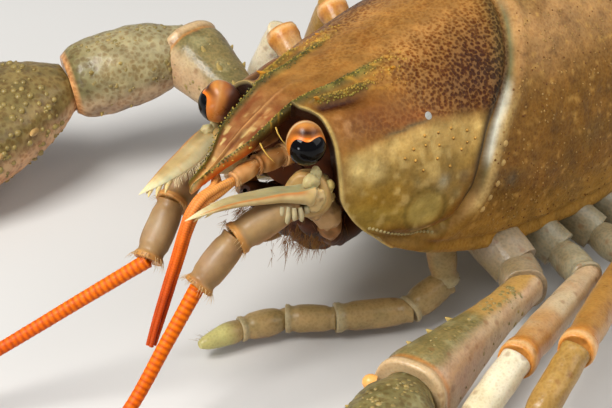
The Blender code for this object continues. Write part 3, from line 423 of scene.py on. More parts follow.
# %% [markdown]
# Each kind of surface is a setting of these two. Dull, dense pits mark the shell, while the limbs are
# smoother and let more light in. The cornea is the only glassy part.

# %% The materials
# Shell: lime-hard chitin, nearly matt, with a bristle pit every third of a millimetre.
SHELL = chitin("Carapace chitin", pit=0.36, dark=1.0, depth=0.7, net=0.2, coat=0.03, rough=(0.34, 0.54),
               grain=0.25, gloss=0.12)
# Tail rings: the same shell, polished by sliding, so its highlights are longer.
TAIL = chitin("Tail chitin", pit=0.6, dark=0.5, mottle=0.45)
# Limbs: thin smooth chitin that glows a little at its edges, with scattered brown flecks.
LIMB = chitin("Limb chitin", pit=0.34, dark=0.28, net=0.15, mottle=0.16, fleck=(2.0, "#7A4A22", 0.45),
              under=0.25, rough=(0.26, 0.42))
# Claws: thick grainy chitin with a broken gloss.
CLAW = chitin("Claw chitin", pit=0.6, dark=0.6, mottle=0.35, grain=0.2)
# Feeler stems: soft, waxy and see-through.
STEM = plain("Feeler stem chitin", 0.42, coat=0.03, under=0.3, bump=0.5, gloss=0.28)
# Whips: fine ringed chitin with a satin sheen.
WHIP = plain("Feeler whip chitin", 0.45, under=0.2, bump=0.25, gloss=0.2)
# Cornea: wet and glassy over black pigment, so it shows one small sharp light.
CORNEA = plain("Eye cornea", 0.07, gloss=0.16, uneven=0.02)
# Eye stalk: amber chitin, damp.
STALK = plain("Eye stalk chitin", 0.3, under=0.2, gloss=0.25)
# Mouthparts: dark, uneven and damp.
MOUTH = plain("Mouthpart chitin", 0.5, coat=0.1, under=0.1, bump=0.3, uneven=0.35, gloss=0.3)
# Setae: bristles as fine as hair, which light passes through.
SETAE = plain("Setae", 0.4, under=0.2)
print("materials:", len(bpy.data.materials))

# %% [markdown]
# ## The carapace
# On the animal the shell is one stiff saddle over head and chest. It could be sculpted, but its ridges have
# to meet the eyes and feelers, so here it is a surface of two parameters: y along the body, and q across
# one flank, from 0 on the back to 1 at the lower edge. These tables are its measurements.

# %% Measurements of the carapace
TOP_Y = (-10.5, -7.0, -4.5, -3.0, 0.7, 6.0, 12.0, 20.0, 30.0, 40.0, 50.5)
TOP_Z = (25.2, 26.7, 28.2, 29.0, 30.65, 31.2, 32.0, 33.2, 33.9, 33.3, 31.2)
STRIP = (0.3, 0.85, 1.95, 2.15, 2.4, 3.0, 3.5, 4.1, 4.7, 4.9, 4.6)
SIDE_Y = (0.0, 5.0, 10.0, 15.0, 20.0, 30.0, 40.0, 46.0, 50.5)
HALF_WIDTH = (8.2, 9.9, 11.2, 12.1, 12.8, 13.3, 13.1, 12.6, 11.9)
WIDEST_Z = (22.5, 21.3, 20.0, 18.8, 18.0, 16.8, 16.3, 16.6, 17.2)
LOWER_Z = (18.6, 16.2, 13.4, 11.3, 9.9, 8.3, 7.5, 7.9, 10.1)
SQUARE = (2.6, 2.4, 2.25, 2.15, 2.1, 2.05, 2.0, 2.0, 2.1)
TUCK, Q_RIDGE, Q_WIDE = 0.12, 0.22, 0.70
FRONT_Q = (0.22, 0.32, 0.45, 0.58, 0.72, 0.82, 0.90, 0.96, 1.0)
FRONT_Y = (0.7, 1.6, 1.5, 1.1, 1.2, 2.0, 3.3, 5.0, 7.4)
GROOVE_Q, GROOVE_Y = (0.0, 0.22, 0.40, 0.55, 0.68, 0.80, 1.0), (29.5, 28.4, 24.8, 19.8, 17.4, 15.2, 12.5)
SHELL_REAR, SHELL_WALL = 50.0, 1.25


def section(y, q):
    """Point of the left half of the carapace: a superellipse above the widest line, a tucked wall below."""
    top, wide = curve(y, TOP_Y, TOP_Z), curve(y, SIDE_Y, HALF_WIDTH)
    middle, lower = curve(y, SIDE_Y, WIDEST_Z), curve(y, SIDE_Y, LOWER_Z)
    power, strip = curve(y, SIDE_Y, SQUARE), curve(y, TOP_Y, STRIP)
    at_ridge = np.arcsin((strip / wide) ** (power / 2))
    share = np.clip((q - Q_RIDGE) / (Q_WIDE - Q_RIDGE), 0, 1)
    on_strip = np.arcsin((np.minimum(q / Q_RIDGE, 1) * strip / wide) ** (power / 2))
    angle = np.where(q < Q_RIDGE, on_strip, at_ridge + share * (math.pi / 2 - at_ridge))
    below = np.clip((q - Q_WIDE) / (1 - Q_WIDE), 0, 1)
    x = wide * np.sin(angle) ** (2 / power) * (1 - TUCK * below**2)
    z = middle + (top - middle) * np.clip(np.cos(angle), 0, 1) ** (2 / power) - (middle - lower) * below
    return np.stack([x, y + 0 * x, z], axis=-1)


def far(points, at_y, at_q):
    """Distance of points on either flank to one place of the shell."""
    return np.linalg.norm(points * (0, 1, 1) + np.abs(points) * (1, 0, 0) - section(at_y, at_q), axis=-1)


def groove_distance(points):
    """Distance to the cervical groove, and to the furrow that runs on from it under the cheek."""
    q, bend = np.linspace(0, 0.82, 160), np.linspace(0, 1, 60)
    line_y = np.concatenate([curve(q, GROOVE_Q, GROOVE_Y), 14.8 - 7.8 * bend])
    nearest = np.full(points.shape[:-1], 99.0)
    for at_y, at_q in zip(line_y, np.concatenate([q, 0.82 + 0.16 * bend**0.8])):
        nearest = np.minimum(nearest, far(points, at_y, at_q))
    return nearest


print("widest half section:", max(HALF_WIDTH), "mm")

# %% [markdown]
# A keel, raised edges, ridges, a deep groove and soft dimples stand on that surface. A texture could fake
# them, but light from the side would give that away, so they move the points.

# %% Relief of the carapace


def ridge_line(y):
    """Place across the flank of the granular ridge that runs back from the spine behind the eye."""
    return 0.247 + 0.0036 * y


def shell_relief(y, q, points, distance):
    """Height added to the shell: rostrum edges and keel, ridges behind the eyes, groove, rims, dimples."""
    edge = bell(q, Q_RIDGE, 0.02) * np.clip((12 - y) / 8, 0, 1)
    hollow = np.clip(1 - q / Q_RIDGE, 0, 1) * np.clip(q / 0.04, 0, 1) * np.clip((6 - y) / 8, 0, 1)
    keel = bell(q, 0, 0.03) * np.clip((-1 - y) / 3, 0, 1)
    first = bell(q, ridge_line(y), 0.013) * window(y, 1.8, 3.0, 7.5, 10.0)
    under = bell(q, ridge_line(y) + 0.045, 0.022) * window(y, 1.5, 3.0, 6.5, 9.0)
    second = bell(q, 0.26, 0.03) * bell(y, 13, 3.0)
    swelling = 0.35 * bell(q, 0.40, 0.12) * bell(y, 19, 6) + 0.3 * bell(q, 0.66, 0.09) * bell(y, 11, 4)
    groove = (-0.7 * bell(distance, 0, 0.55) + 0.22 * bell(distance, 1.7, 0.8)) * step(q, 1.0, 0.86)
    back = -0.18 * bell(q, 0.075, 0.012) * window(y, 30, 32, 47, 49)
    rear = 0.3 * step(y, SHELL_REAR - 2.3, SHELL_REAR - 1.5) - 0.3 * bell(y, SHELL_REAR - 2.9, 0.6)
    rim = 0.25 * step(q, 0.965, 0.985) - 0.2 * bell(q, 0.95, 0.012)
    socket = 0.22 * bell(y - curve(q, FRONT_Q, FRONT_Y), 0.1, 0.35) * step(q, 0.2, 0.26)
    wave = 0.10 * noise(points, 2.6, 3) + 0.05 * noise(points, 0.9, 4)
    return (0.55 * edge - 0.3 * hollow + 0.2 * keel + 0.5 * first - 0.3 * under + 0.3 * second + swelling
            + groove + back + rear + rim + socket + wave)


print("the ridge behind the eye starts at q =", round(ridge_line(2.8), 3))

# %% [markdown]
# The tint follows the same two parameters. It has a red-brown rostrum with olive edges, rust and pits
# behind the eye with a painted shadow under its ridge, a pale cheek below a slanting border, the milky line
# of the groove, and a golden flank. Each part is a base colour under thin coats, as a painter would lay
# them.

# %% Colours of the carapace
WARM, WARM_CHEEK = np.array((0.84, 0.755, 0.50)), np.array((1.04, 0.97, 0.78))
BORDER_Y = (3.0, 6.3, 8.8, 12.6, 15.7, 18.7, 20.5)
BORDER_Q = (0.53, 0.497, 0.482, 0.474, 0.484, 0.503, 0.515)
CHEEK_SPOTS = ((12.5, 0.66, 0.75, "#A09C8C"), (15.2, 0.655, 0.7, "#6C563A"), (9.4, 0.655, 0.5, "#8A7A50"),
               (14.2, 0.70, 0.6, "#7C6C48"), (21.3, 0.693, 0.8, "#6E6860"))


def cheek_tone(y, q, points, distance):
    """Colour of the cheek: pale buff, with olive lower down and a brown band along the groove."""
    blaze = np.maximum(bell(far(points, 3.0, 0.60), 0, 1.5), bell(far(points, 4.8, 0.61), 0, 1.3))
    return coats(
        mix("#BC9E64", "#8E743E", step(q, 0.52, 0.63)),
        ("#98782E", bell(y, 4.8, 3.0) * step(q, 0.60, 0.68)),
        ("#9A8340", step(q, 0.70, 0.8) * 0.8),
        ("#D2BD86", blaze * 0.95),
        ("#7C5216", bell(distance, 1.3, 1.2) * step(q, 0.58, 0.7) * 0.95),
        ("#CDB67E", step(noise(points, 0.8, 11), 0.15, 0.7) * 0.45),
        ("#7A6430", step(noise(points, 1.1, 12), 0.3, 0.8) * 0.45))


def flank_tone(q, points, soft, fine, tiny):
    """Colour behind the groove: pinkish tan on the back, golden brown and speckled on the flank."""
    return coats(
        mix("#BE9872", "#8C662E", step(q, 0.30, 0.55)),
        ("#7C6434", step(soft, 0.0, 0.6) * 0.45),
        ("#6C4822", step(fine + 0.5 * soft, 0.25, 0.8) * 0.4),
        ("#B08860", step(noise(points, 6.0, 13), 0.1, 0.6) * step(q, 0.6, 0.4) * 0.6),
        ("#5A3A1A", step(noise(points, 0.8, 14), 0.55, 0.75) * 0.5),
        ("#B48E4C", step(q, 0.74, 0.92) * 0.8),
        ("#C9A468", step(tiny, 0.45, 0.75) * 0.55))


def beak_tone(y, points, streak, tiny):
    """Colour of the rostrum: red brown in long streaks, and pale towards its tip."""
    return coats(
        mix("#966846", "#7A3A26", step(streak + 0.5 * tiny, 0.05, 0.75) * 0.75),
        ("#7E3C22", step(noise(points * (1, 0.6, 1), 0.8, 15), 0.2, 0.7) * 0.6),
        ("#B88E68", step(noise(points * (1, 0.6, 1), 0.7, 16), 0.25, 0.7) * 0.6),
        ("#E2B682", step(y, -4.5, -8.5) * 0.8),
        ("#E9D9A8", step(tiny, 0.35, 0.6) * step(y, 2.0, -7.0) * 0.7))


print("spots on the cheek:", len(CHEEK_SPOTS))

# %% [markdown]
# Then the tones meet. Soft steps of the distance to the groove lay a dark painted shade along its front
# and its milky seam, and the last lines set how deep the pits are drawn in each region and pull the whole to
# the photo's warmth.

# %% Join the colours of the carapace


def shell_tint(y, q, points, distance):
    """Colour of the shell from its place on the body, with the strength of its pits as a fourth column."""
    soft, fine, tiny = noise(points, 4.5, 5), noise(points, 1.3, 6), noise(points, 0.5, 8)
    line = y - curve(q, GROOVE_Q, GROOVE_Y)
    behind = step(line, -0.3, 0.5)
    before = 1 - behind
    streak = noise(points * (1, 0.28, 1), 0.75, 7)
    # Painted shadow: deep red brown under the ridge behind each eye.
    ridge_shade = bell(q, ridge_line(y) + 0.042, 0.032) * window(y, 1.6, 2.8, 5.0, 10.0)
    border = curve(y, BORDER_Y, BORDER_Q) + 0.006 * fine
    cheek = step(q, border - 0.018, border + 0.030) * before * step(y + 8 * (q - 0.5), 1.0, 4.0)
    cell = far(points, 10.4, 0.765)
    colour = coats(
        shades("#A87C48", "#966C38", soft),
        ("#8A5A26", before * step(streak, 0.0, 0.8) * step(q, 0.3, 0.2) * 0.55),
        ("#B98C5E", bell(q, 0.21, 0.11) * bell(y, 18.5, 6.5) * before * 0.75),
        ("#6C4418", bell(q, 0.40, 0.13) * bell(y, 20.5, 7.0) * before * 1.2),
        ("#4E2C0A", bell(q, 0.41, 0.11) * bell(y, 21.0, 5.0) * before * 0.8),
        ("#7E4C20", bell(q, 0.40, 0.10) * bell(y, 6.5, 5.0) * 0.9),
        ("#8A4A28", bell(q, 0.45, 0.03) * bell(y, 11, 3.0) * 0.5),
        ("#B89070", bell(far(points, 3.6, 0.41), 0, 1.3) * step(tiny, -0.2, 0.5) * 0.6),
        ("#3A1202", ridge_shade * 0.95),
        (cheek_tone(y, q, points, distance), cheek),
        ("#AFA062", step(cell, 2.3, 1.6) * 0.6),
        ("#625628", bell(cell + 0.3 * fine, 2.35, 0.22) * 0.6),
        ("#5E5848", bell(q, border - 0.004, 0.008) * window(y, 6.0, 8.0, 11.5, 13.5) * 0.75),
        *((code, bell(far(points, at_y, at_q) + 0.25 * fine, 0, wide) * 0.85)
          for at_y, at_q, wide, code in CHEEK_SPOTS))
    edge = bell(q, Q_RIDGE, 0.026) * step(y, 15, 9)
    ridge = bell(q, ridge_line(y), 0.016) * window(y, 1.8, 3.0, 7.5, 10.0)
    socket = step(y - curve(q, FRONT_Q, FRONT_Y), 0.55, 0.12) * step(q, 0.22, 0.27)
    milky = window(q, 0.43, 0.50, 0.61, 0.67)
    pale = coats("#6E6C4E", ("#E8ECEC", milky), ("#C4A070", step(q, 0.66, 0.74)))
    seam = bell(distance, 0.45 + 0.1 * milky, 0.30 + 0.08 * milky)
    seam = seam * step(line, -0.1, 0.2) * step(q, 0.14, 0.3)
    cream = bell(distance, 1.25, 0.75) * behind * window(q, 0.46, 0.53, 0.76, 0.84)
    # Painted shade: a dark band along the front side of the groove, where its wall and overhang are in
    # shadow.
    groove_painted_shade = bell(distance, 0.9, 0.62) * step(line, 0.1, -0.1) * window(q, 0.36, 0.48, 0.70, 0.80)
    colour = coats(
        colour,
        (flank_tone(q, points, soft, fine, tiny), behind),
        ("#90703A", step(distance, 3.0, 0.6) * step(q, 0.88, 0.93) * step(y, 13, 11)),
        (beak_tone(y, points, streak, tiny), step(y, 4, -1) * step(q, 0.215, 0.19)),
        ("#D2A47A", bell(q, 0, 0.012) * step(y, 5, -1) * 0.6),
        ("#6E3A26", bell(q, 0.035, 0.012) * step(y, 2, -2) * 0.55),
        (mix("#57582E", "#807C48", step(fine, 0.0, 0.6)), edge),
        ("#C9A040", edge * step(tiny, 0.55, 0.75) * 0.7),
        (mix("#6C6034", "#B08E3A", step(tiny, 0.1, 0.6)), ridge),
        ("#CDA04C", bell(q, 0.25, 0.06) * bell(y, 11, 2.6) * step(tiny, 0.0, 0.5) * 0.8),
        ("#BCA877", socket * 0.9),
        # Painted shade, olive grey, in front of the upper part of the groove.
        ("#4A4624", bell(distance, 1.2, 1.2) * before * step(q, 0.48, 0.36) * step(q, 0.1, 0.25) * 0.75),
        ("#D0B888", cream * 0.8),
        (pale, seam),
        ("#2C1E0A", groove_painted_shade * 0.95),
        ("#6A625C", bell(far(points, 21.9, 0.70), 0, 0.8) * 0.8))
    pits = 0.9 * before * step(y, 8.5, 14) * step(q, 0.05, 0.30) * step(q, border + 0.005, border - 0.03)
    pits = np.maximum(0.18 + pits, 0.5 * bell(q, 0.44, 0.07) * bell(y, 7.5, 4.5))
    pits = np.maximum(pits, 0.45 * before * step(q, 0.2, 0.05) * step(y, 2, 9))
    pits = np.maximum(pits, 0.30 * behind) * step(y, -2, 2) * (1 - 0.8 * seam)
    colour = colour * mix(WARM, WARM_CHEEK, np.maximum(cheek, seam + 0.6 * cream * (1 - seam)))
    colour = colour * (1 + 0.12 * fine + 0.10 * tiny)[..., None]
    return np.concatenate([colour, pits[..., None]], axis=-1)


print("a tint has", shell_tint(np.zeros(1), np.zeros(1), np.zeros((1, 3)), np.ones(1)).shape[-1], "numbers")

# %% [markdown]
# The grid is finest where the ridge and the groove run, and one of its rows follows the groove. The
# rostrum is a solid beak, and the rest is a wall whose inside is tan, painted dark brown towards the front
# as shade; the wall joins the beak at the sockets.

# %% Build the carapace
half_q = np.concatenate([np.linspace(0, 0.20, 20)[:-1], np.linspace(0.20, 0.24, 9)[:-1],
                         np.linspace(0.24, 0.34, 18)[:-1], np.linspace(0.34, 1.0, 66)])
q = np.concatenate([half_q[:0:-1], half_q])
side = np.where(np.arange(len(q)) < len(half_q) - 1, -1, 1)
front, groove = curve(q, FRONT_Q, FRONT_Y), curve(q, GROOVE_Q, GROOVE_Y)
rear = SHELL_REAR - 2.4 * np.exp(-((q / 0.25) ** 2)) - 2.5 * np.clip(q - 0.75, 0, 1) / 0.25
beak_y = np.linspace(ROSTRUM_TIP, 0.7, 48)[:-1]
beak = len(beak_y)
head = np.concatenate([np.linspace(0, 0.06, 8)[:-1], np.linspace(0.06, 1.0, 96)])[:, None]
back = np.linspace(0, 1, 76)[1:, None] ** 0.9
y = np.concatenate([np.repeat(beak_y[:, None], len(q), axis=1), front + (groove - front) * head,
                    groove + (rear - groove) * back])
grid_q = q[None, :] + 0 * y
outer = section(y, grid_q) * np.where(side[None, :, None] < 0, (-1, 1, 1), (1, 1, 1))
out = normals(outer)
out *= np.sign((out * (outer - (0, 0, 18)) * (1, 0, 1)).sum(axis=-1).mean())
distance = groove_distance(outer)
height = shell_relief(y, grid_q, outer, distance)
tint = shell_tint(y, grid_q, outer, distance)
inner = outer - SHELL_WALL * out
out[:beak + 1] = (0, 0, 1)
outer = outer + height[..., None] * out
strip = np.abs(q) <= Q_RIDGE + 1e-6
share = (np.arange(beak + 1) / beak)[:, None]
under = outer[:beak + 1, strip] * (0.96, 1, 1)
under[..., 2] -= (0.75 + 1.25 * share) * (1 - 0.35 * (q[strip] / Q_RIDGE) ** 2) + height[:beak + 1, strip]
inner[:beak + 1, strip] = under
print("shell grid:", outer.shape)

# %% Join the parts of the carapace
# Inside of the shell: tan, with painted shade of dark brown towards the front.
inside_tint_and_shade = mix("#281204", "#B89A64", step(y, 4.0, 10.0))
carapace = Form(pits=0.05)
carapace.grid(outer[beak:], tint[beak:], closed=False)
carapace.grid(inner[beak:, ::3][:, ::-1], inside_tint_and_shade[beak:, ::3][:, ::-1], closed=False)
first, last = np.flatnonzero(strip)[[0, -1]]
below = inner[:beak + 1, last:first + 1:-1]
around = np.concatenate([outer[:beak + 1, first:last + 1], below], axis=1)
# Underside of the rostrum: orange towards the tip and pale at the tip, with painted shade of dark brown
# behind, near the sockets.
keel_tint_and_shade = coats("#4A2008", ("#D0601C", step(beak_y, -3.2, -5.0)), ("#DDA868", step(beak_y, -9.3, -10.3)))
keel_tint_and_shade = np.broadcast_to(np.concatenate([keel_tint_and_shade, keel_tint_and_shade[-1:]])[:, None], below.shape)
around_tint = np.concatenate([tint[:beak + 1, first:last + 1, :3], keel_tint_and_shade], axis=1)
tip = around[:1].mean(axis=1, keepdims=True) + (0, -0.25, -0.1) + 0 * around[:1]
carapace.grid(np.concatenate([tip, around]), np.concatenate([around_tint[:1], around_tint]), wrap=True)
# Rims of the wall: a pale edge and tan inside, but near black in the front row at the sockets, as painted
# shade.
for place, shade in ((-1, "#A88E58"), ((slice(beak, None), 0), "#A88E58"),
                     ((slice(beak, None), -1), "#A88E58"), (beak, "#2C1406")):
    rim, inside = outer[place], inner[place]
    shade = np.broadcast_to(rgb(shade), rim.shape)
    carapace.grid(np.stack([rim, 0.7 * rim + 0.3 * inside, inside]),
                  np.stack([np.broadcast_to(rgb("#AC9866"), rim.shape), shade, shade]), closed=False)
print("points of the shell:", carapace.count)

# %% [markdown]
# Granules and spines stand on the shell where the living animal has them: along the rostrum and the two
# ridges behind each eye, over the cheek, and scattered over the flank. They catch tiny lights, which makes
# the shell look rough from near by. Geometry nodes could scatter them, but rows need exact places.

# %% Granules and spines of the carapace
random = np.random.default_rng(7)
CHEEK_GRAINS = ((9.5, 0.587), (12.1, 0.591), (11.1, 0.545), (14.6, 0.543), (16.5, 0.533), (14.6, 0.513),
                (12.7, 0.553), (10.2, 0.62), (8.4, 0.575), (13.5, 0.62), (15.3, 0.58), (17.2, 0.56),
                (11.3, 0.515), (13.0, 0.515), (16.2, 0.565), (9.6, 0.55))
GROOVE_BEADS = ((21.0, 0.60), (19.8, 0.70), (18.0, 0.80), (20.6, 0.65), (18.9, 0.755))
GRAIN_ROWS = ((60, -9.6, 12.5, lambda y: Q_RIDGE + 0 * y, 0.006, 0.085, "#948038"),
              (110, -9.0, 11.0, lambda y: Q_RIDGE - 0.006 + 0 * y, 0.011, 0.08, "#4E4E2A"),
              (44, 2.8, 9.4, ridge_line, 0.006, 0.11, "#9A7C34"),
              (34, 2.8, 8.4, lambda y: ridge_line(y) + 0.012, 0.005, 0.10, "#8A7A34"),
              (26, 8.8, 14.5, lambda y: 0.235 + 0.004 * (y - 9), 0.022, 0.12, "#A8843A"),
              (16, 9.5, 12.5, lambda y: 0.30 + 0 * y, 0.03, 0.11, "#9A6C2C"))
LOOSE_GRAINS, CLEAR_OF_GROOVE = 560, 1.2


def on_shell(y, q, side):
    """Points and outward directions of the shell at given places of one flank."""
    y, q = np.broadcast_arrays(np.asarray(y, float), np.asarray(q, float))
    here = section(y, q)
    across = section(y, np.clip(q + 0.02, 0, 1)) - section(y, np.clip(q - 0.02, 0, 1))
    outward = unit(np.cross(across, section(y + 0.3, q) - section(y - 0.3, q)))
    outward *= np.sign((outward * (here - (0, 0, 18)) * (1, 0, 1)).sum(axis=-1, keepdims=True))
    flip = np.array([side, 1.0, 1.0])
    here = here + shell_relief(y, q, here * flip, groove_distance(here))[..., None] * outward
    return here * flip, outward * flip


print("grains in rows:", 2 * sum(row[0] for row in GRAIN_ROWS))

# %% Place the granules and spines
for side in (-1, 1):
    for count, low_y, high_y, across, scatter, size, colour in GRAIN_ROWS:
        place_y = low_y + (high_y - low_y) * (np.arange(count) + 0.8 * random.random(count)) / count
        at, outs = on_shell(place_y, across(place_y) + scatter * random.normal(size=count), side)
        carapace.studs(at, outs, size * (0.7 + 0.6 * random.random(count)), size, colour, DOME, sides=6)
    at, outs = on_shell(*np.transpose(CHEEK_GRAINS), side)
    carapace.studs(at - 0.02 * outs - (0, 0, 0.08), outs, 0.19, 0.09, "#7A5220", DOME, sides=9)
    carapace.studs(at, outs, 0.10 + 0.07 * random.random(len(at)), 0.17, "#B88A40", DOME, sides=8)
    at, outs = on_shell(12.6, 0.459, side)
    carapace.studs(at - 0.01 * outs, outs, 0.44, 0.05, "#A3A098", DOME, sides=20)
    carapace.studs(*on_shell(*np.transpose(GROOVE_BEADS), side), 0.36, 0.14, "#B8965C", DOME, sides=14)
    place_y, place_q = 19 + 29 * random.random(LOOSE_GRAINS), 0.28 + 0.66 * random.random(LOOSE_GRAINS)
    keep = place_y > curve(place_q, GROOVE_Q, GROOVE_Y) + CLEAR_OF_GROOVE
    at, outs = on_shell(place_y[keep], place_q[keep], side)
    grain_tints = mix("#A07C46", "#6E4620", step(random.random(len(at)), 0.55, 0.7))
    carapace.studs(at, outs, 0.06 + 0.09 * random.random(len(at)), 0.08, grain_tints, DOME, sides=6)
    beads = np.linspace(4.6, 12.2, 19)
    at, outs = on_shell(beads, 0.918 - 0.0008 * (beads - 8) ** 2, side)
    carapace.studs(at, outs, 0.19, 0.16, "#AC9A68", DOME, sides=8)
    for base_y, reach in ((-4.4, 1.2), (-6.1, 1.0)):
        base = section(base_y, Q_RIDGE) * (side, 1, 1) + (-0.35 * side, 0.5, -0.45)
        carapace.studs(base, (0.8 * side, -reach - 0.4, 0.2), 0.26, 0.75 * reach, "#C9A044", SPINE, sides=9)
    for base_y, base_q, reach in ((3.0, 0.257, 0.9), (12.4, 0.27, 0.6)):
        at, outs = on_shell(base_y, base_q, side)
        outs, at = outs * 0.5 + (0.1 * side, -0.8, 0.1), at - 0.2 * outs
        carapace.studs(at, outs, 0.26, reach, "#C98A2C", SPINE, sides=9)
carapace.piece("shell", SHELL, "shell", "carapace")
print("carapace:", TALLY[-1])

# %% [markdown]
# ## Eyes
# The cornea is a black dome with a wavy edge. It sits in a glossy amber ball, which the stalk carries. Two
# spheres could stand for them, but the photo shows the amber lid above the black, so both are one ball cut
# along a curve of angles round the line of sight.

# %% Eyes
EYE_APART, EYE_HEIGHT, CORNEA_WIDTH, FULLNESS = 12.0, 28.3, 3.7, 1.06
LOOK = unit((0.727, -0.637, 0.24))
EDGE_TURN = np.radians((0, 22, 44, 58, 72, 94, 114, 128, 140, 163, 200, 250, 290, 325, 360))
EDGE_ANGLE = np.radians((55, 52, 46, 36, 27, 23.5, 28, 42, 58, 69, 80, 90, 82, 66, 55))
ASIDE = level(LOOK)
SPOKE = np.cos(turns(72))[:, None] * ASIDE + np.sin(turns(72))[:, None] * np.cross(ASIDE, LOOK)
eye_centre = np.array([EYE_APART / 2, -1.0, EYE_HEIGHT])
eye_radius = CORNEA_WIDTH / 2 * FULLNESS


def ball(polar, radius):
    """Points of the eye's ball round the line of sight, from the angle off it and the turn about it."""
    return eye_centre + radius * (np.cos(polar)[..., None] * LOOK + np.sin(polar)[..., None] * SPOKE)


edge = curve(turns(72), EDGE_TURN, EDGE_ANGLE)[None, :]
dome = ball(np.linspace(0.002, 1, 34)[:, None] * edge, eye_radius)
sunk = ball(edge + 0.03, eye_radius - 0.14)
polar = (edge - 0.12) + (2.6 - edge) * np.linspace(0, 1, 44)[:, None]
past, around = polar - edge, turns(72)[None, :] + 0 * polar
above = bell(around, math.radians(88), math.radians(52))
cap = ball(polar, (eye_radius - 0.05 + 0.5 * above * step(past, 0.1, 0.9))[..., None])
stem = unit(eye_centre - (3.3, 3.0, 26.8))
neck = np.stack([eye_centre - stem * down + wide * SPOKE
                 for down, wide in ((2.2, 1.2), (3.0, 1.1), (4.4, 1.0), (5.6, 0.95))])
for side, letter in SIDES:
    flip = np.array([side, 1, 1])
    cornea = Form()
    cornea.grid(np.concatenate([dome, sunk]) * flip, "#050406", wrap=True)
    cornea.piece(f"cornea_{letter}", CORNEA, "cornea", f"eye_{letter}")
    amber = coats(
        mix("#A0602A", "#7A4420", step(polar, 1.5, 2.0)),
        ("#B0651E", bell(past, 0.25, 0.3)),
        ("#F0700A", step(past, 0.26, 0.14) * above),
        ("#FFC070", bell(past, 0.08, 0.05) * bell(around, math.radians(112), math.radians(24)) * 0.7),
        ("#2A0E02", bell(past, 0.45, 0.2) * bell(around, math.radians(90), math.radians(46))),
        ("#B87C38", bell(past, 0.85, 0.18) * above * 0.8),
        ("#C9AE80", bell(polar, 1.50, 0.08) * (step(np.cos(around), -0.35, 0.3) + above)
         * (0.6 if side > 0 else 0.1)),
        ("#4E2C1E", step(polar, 1.8, 2.1)))
    stalk = Form()
    stalk.grid(np.concatenate([cap, neck]) * flip,
               np.concatenate([amber, np.broadcast_to(rgb("#6A3E1C"), neck.shape)]), wrap=True)
    stalk.piece(f"eye_cap_{letter}", STALK, "stalk", f"eyestalk_{letter}")
print("eyes at", eye_centre, "and its mirror")

# %% [markdown]
# ## Limbs
# Every limb is a chain of segments. A segment grows from a narrow neck, swells, and ends in a lipped collar
# that takes the neck of the next one. Skin and metaballs would melt the joints together, so each segment is
# a tube of its own through a table of radii.

# %% Limb segments
hairs = Form()


def squared(turn, power):
    """Cosine and sine of a turn round a circle that grows squarer with its power."""
    wave = np.array([np.cos(turn), np.sin(turn)])
    return np.sign(wave) * np.abs(wave) ** (2 / power)


def segment(start, end, radii, rows=44, around=30, flat=1.0, power=2.2):
    """Grid of one segment, with its share along and its turn around for each point."""
    start, end = np.asarray(start, float), np.asarray(end, float)
    along = unit(end - start)
    aside = level(along)
    rise = np.cross(aside, along)
    share = np.concatenate([[-0.03, -0.03], np.linspace(-0.03, 1.0, rows), [1.0, 0.995, 0.988]])
    scale = np.concatenate([[0.02, 0.8], np.ones(rows), [0.92, 0.80, 0.02]])
    radius = curve(np.clip(share, 0, 1), *np.transpose(radii)) * scale
    turn = turns(around)
    c, s = squared(turn, power)
    middle = start + (share * np.linalg.norm(end - start))[:, None] * along
    points = middle[:, None] + radius[:, None, None] * (c[:, None] * aside + flat * s[:, None] * rise)
    outs = np.broadcast_to(unit(c[:, None] * aside + s[:, None] * rise / flat), points.shape)
    return points, outs, share[:, None] + 0 * turn, turn + 0 * share[:, None]


def swell(neck, belly, collar):
    """Radii along a segment: narrow neck, swelling, waist before the collar, and the collar's lip."""
    return ((0, neck), (0.06, 0.96 * neck), (0.16, 0.5 * (neck + belly)), (0.34, belly),
            (0.72, 0.5 * (belly + collar)), (0.89, 0.94 * collar), (0.93, 1.04 * collar),
            (0.955, 1.01 * collar), (0.98, 1.05 * collar), (1.0, 0.97 * collar))


def limb(form, joints, radii, paint, rough=0.04, **shape):
    """Adds the segments between the joints. paint gives the tint from segment, share, turn and points."""
    for k, (start, end, widths) in enumerate(zip(joints[:-1], joints[1:], radii)):
        points, outs, share, turn = segment(start, end, widths, **shape)
        points = points + (rough * noise(points, 1.1, k) * step(share, 0.02, 0.1))[..., None] * outs
        points[..., 2] = np.maximum(points[..., 2], 0.02)
        form.grid(points, paint(k, share, turn, points), wrap=True)


def fuzz(points, outs, along, count, length, tint, radius=0.035, spread=0.35, seed=1):
    """Hairs rooted on the given points, combed along a direction."""
    draw = np.random.default_rng(seed)
    pick = draw.integers(0, len(points), count)
    outs = np.broadcast_to(outs, points.shape)[pick]
    direction = unit(outs + np.asarray(along) + spread * draw.normal(size=(count, 3)))
    size = length * (0.6 + 0.6 * draw.random(count))
    hairs.studs(points[pick], direction, radius, size, tint, HAIR, sides=3,
                lean=np.asarray(along) * 0.3 * size[:, None])


print("radii of a swelling segment:", len(swell(1, 1, 1)))

# %% [markdown]
# The first walking leg has an ivory shin and a pink-cream thigh, and the others are tan with a fine brown
# net. Their ends stand on the floor. The first two pairs end in small pincers.

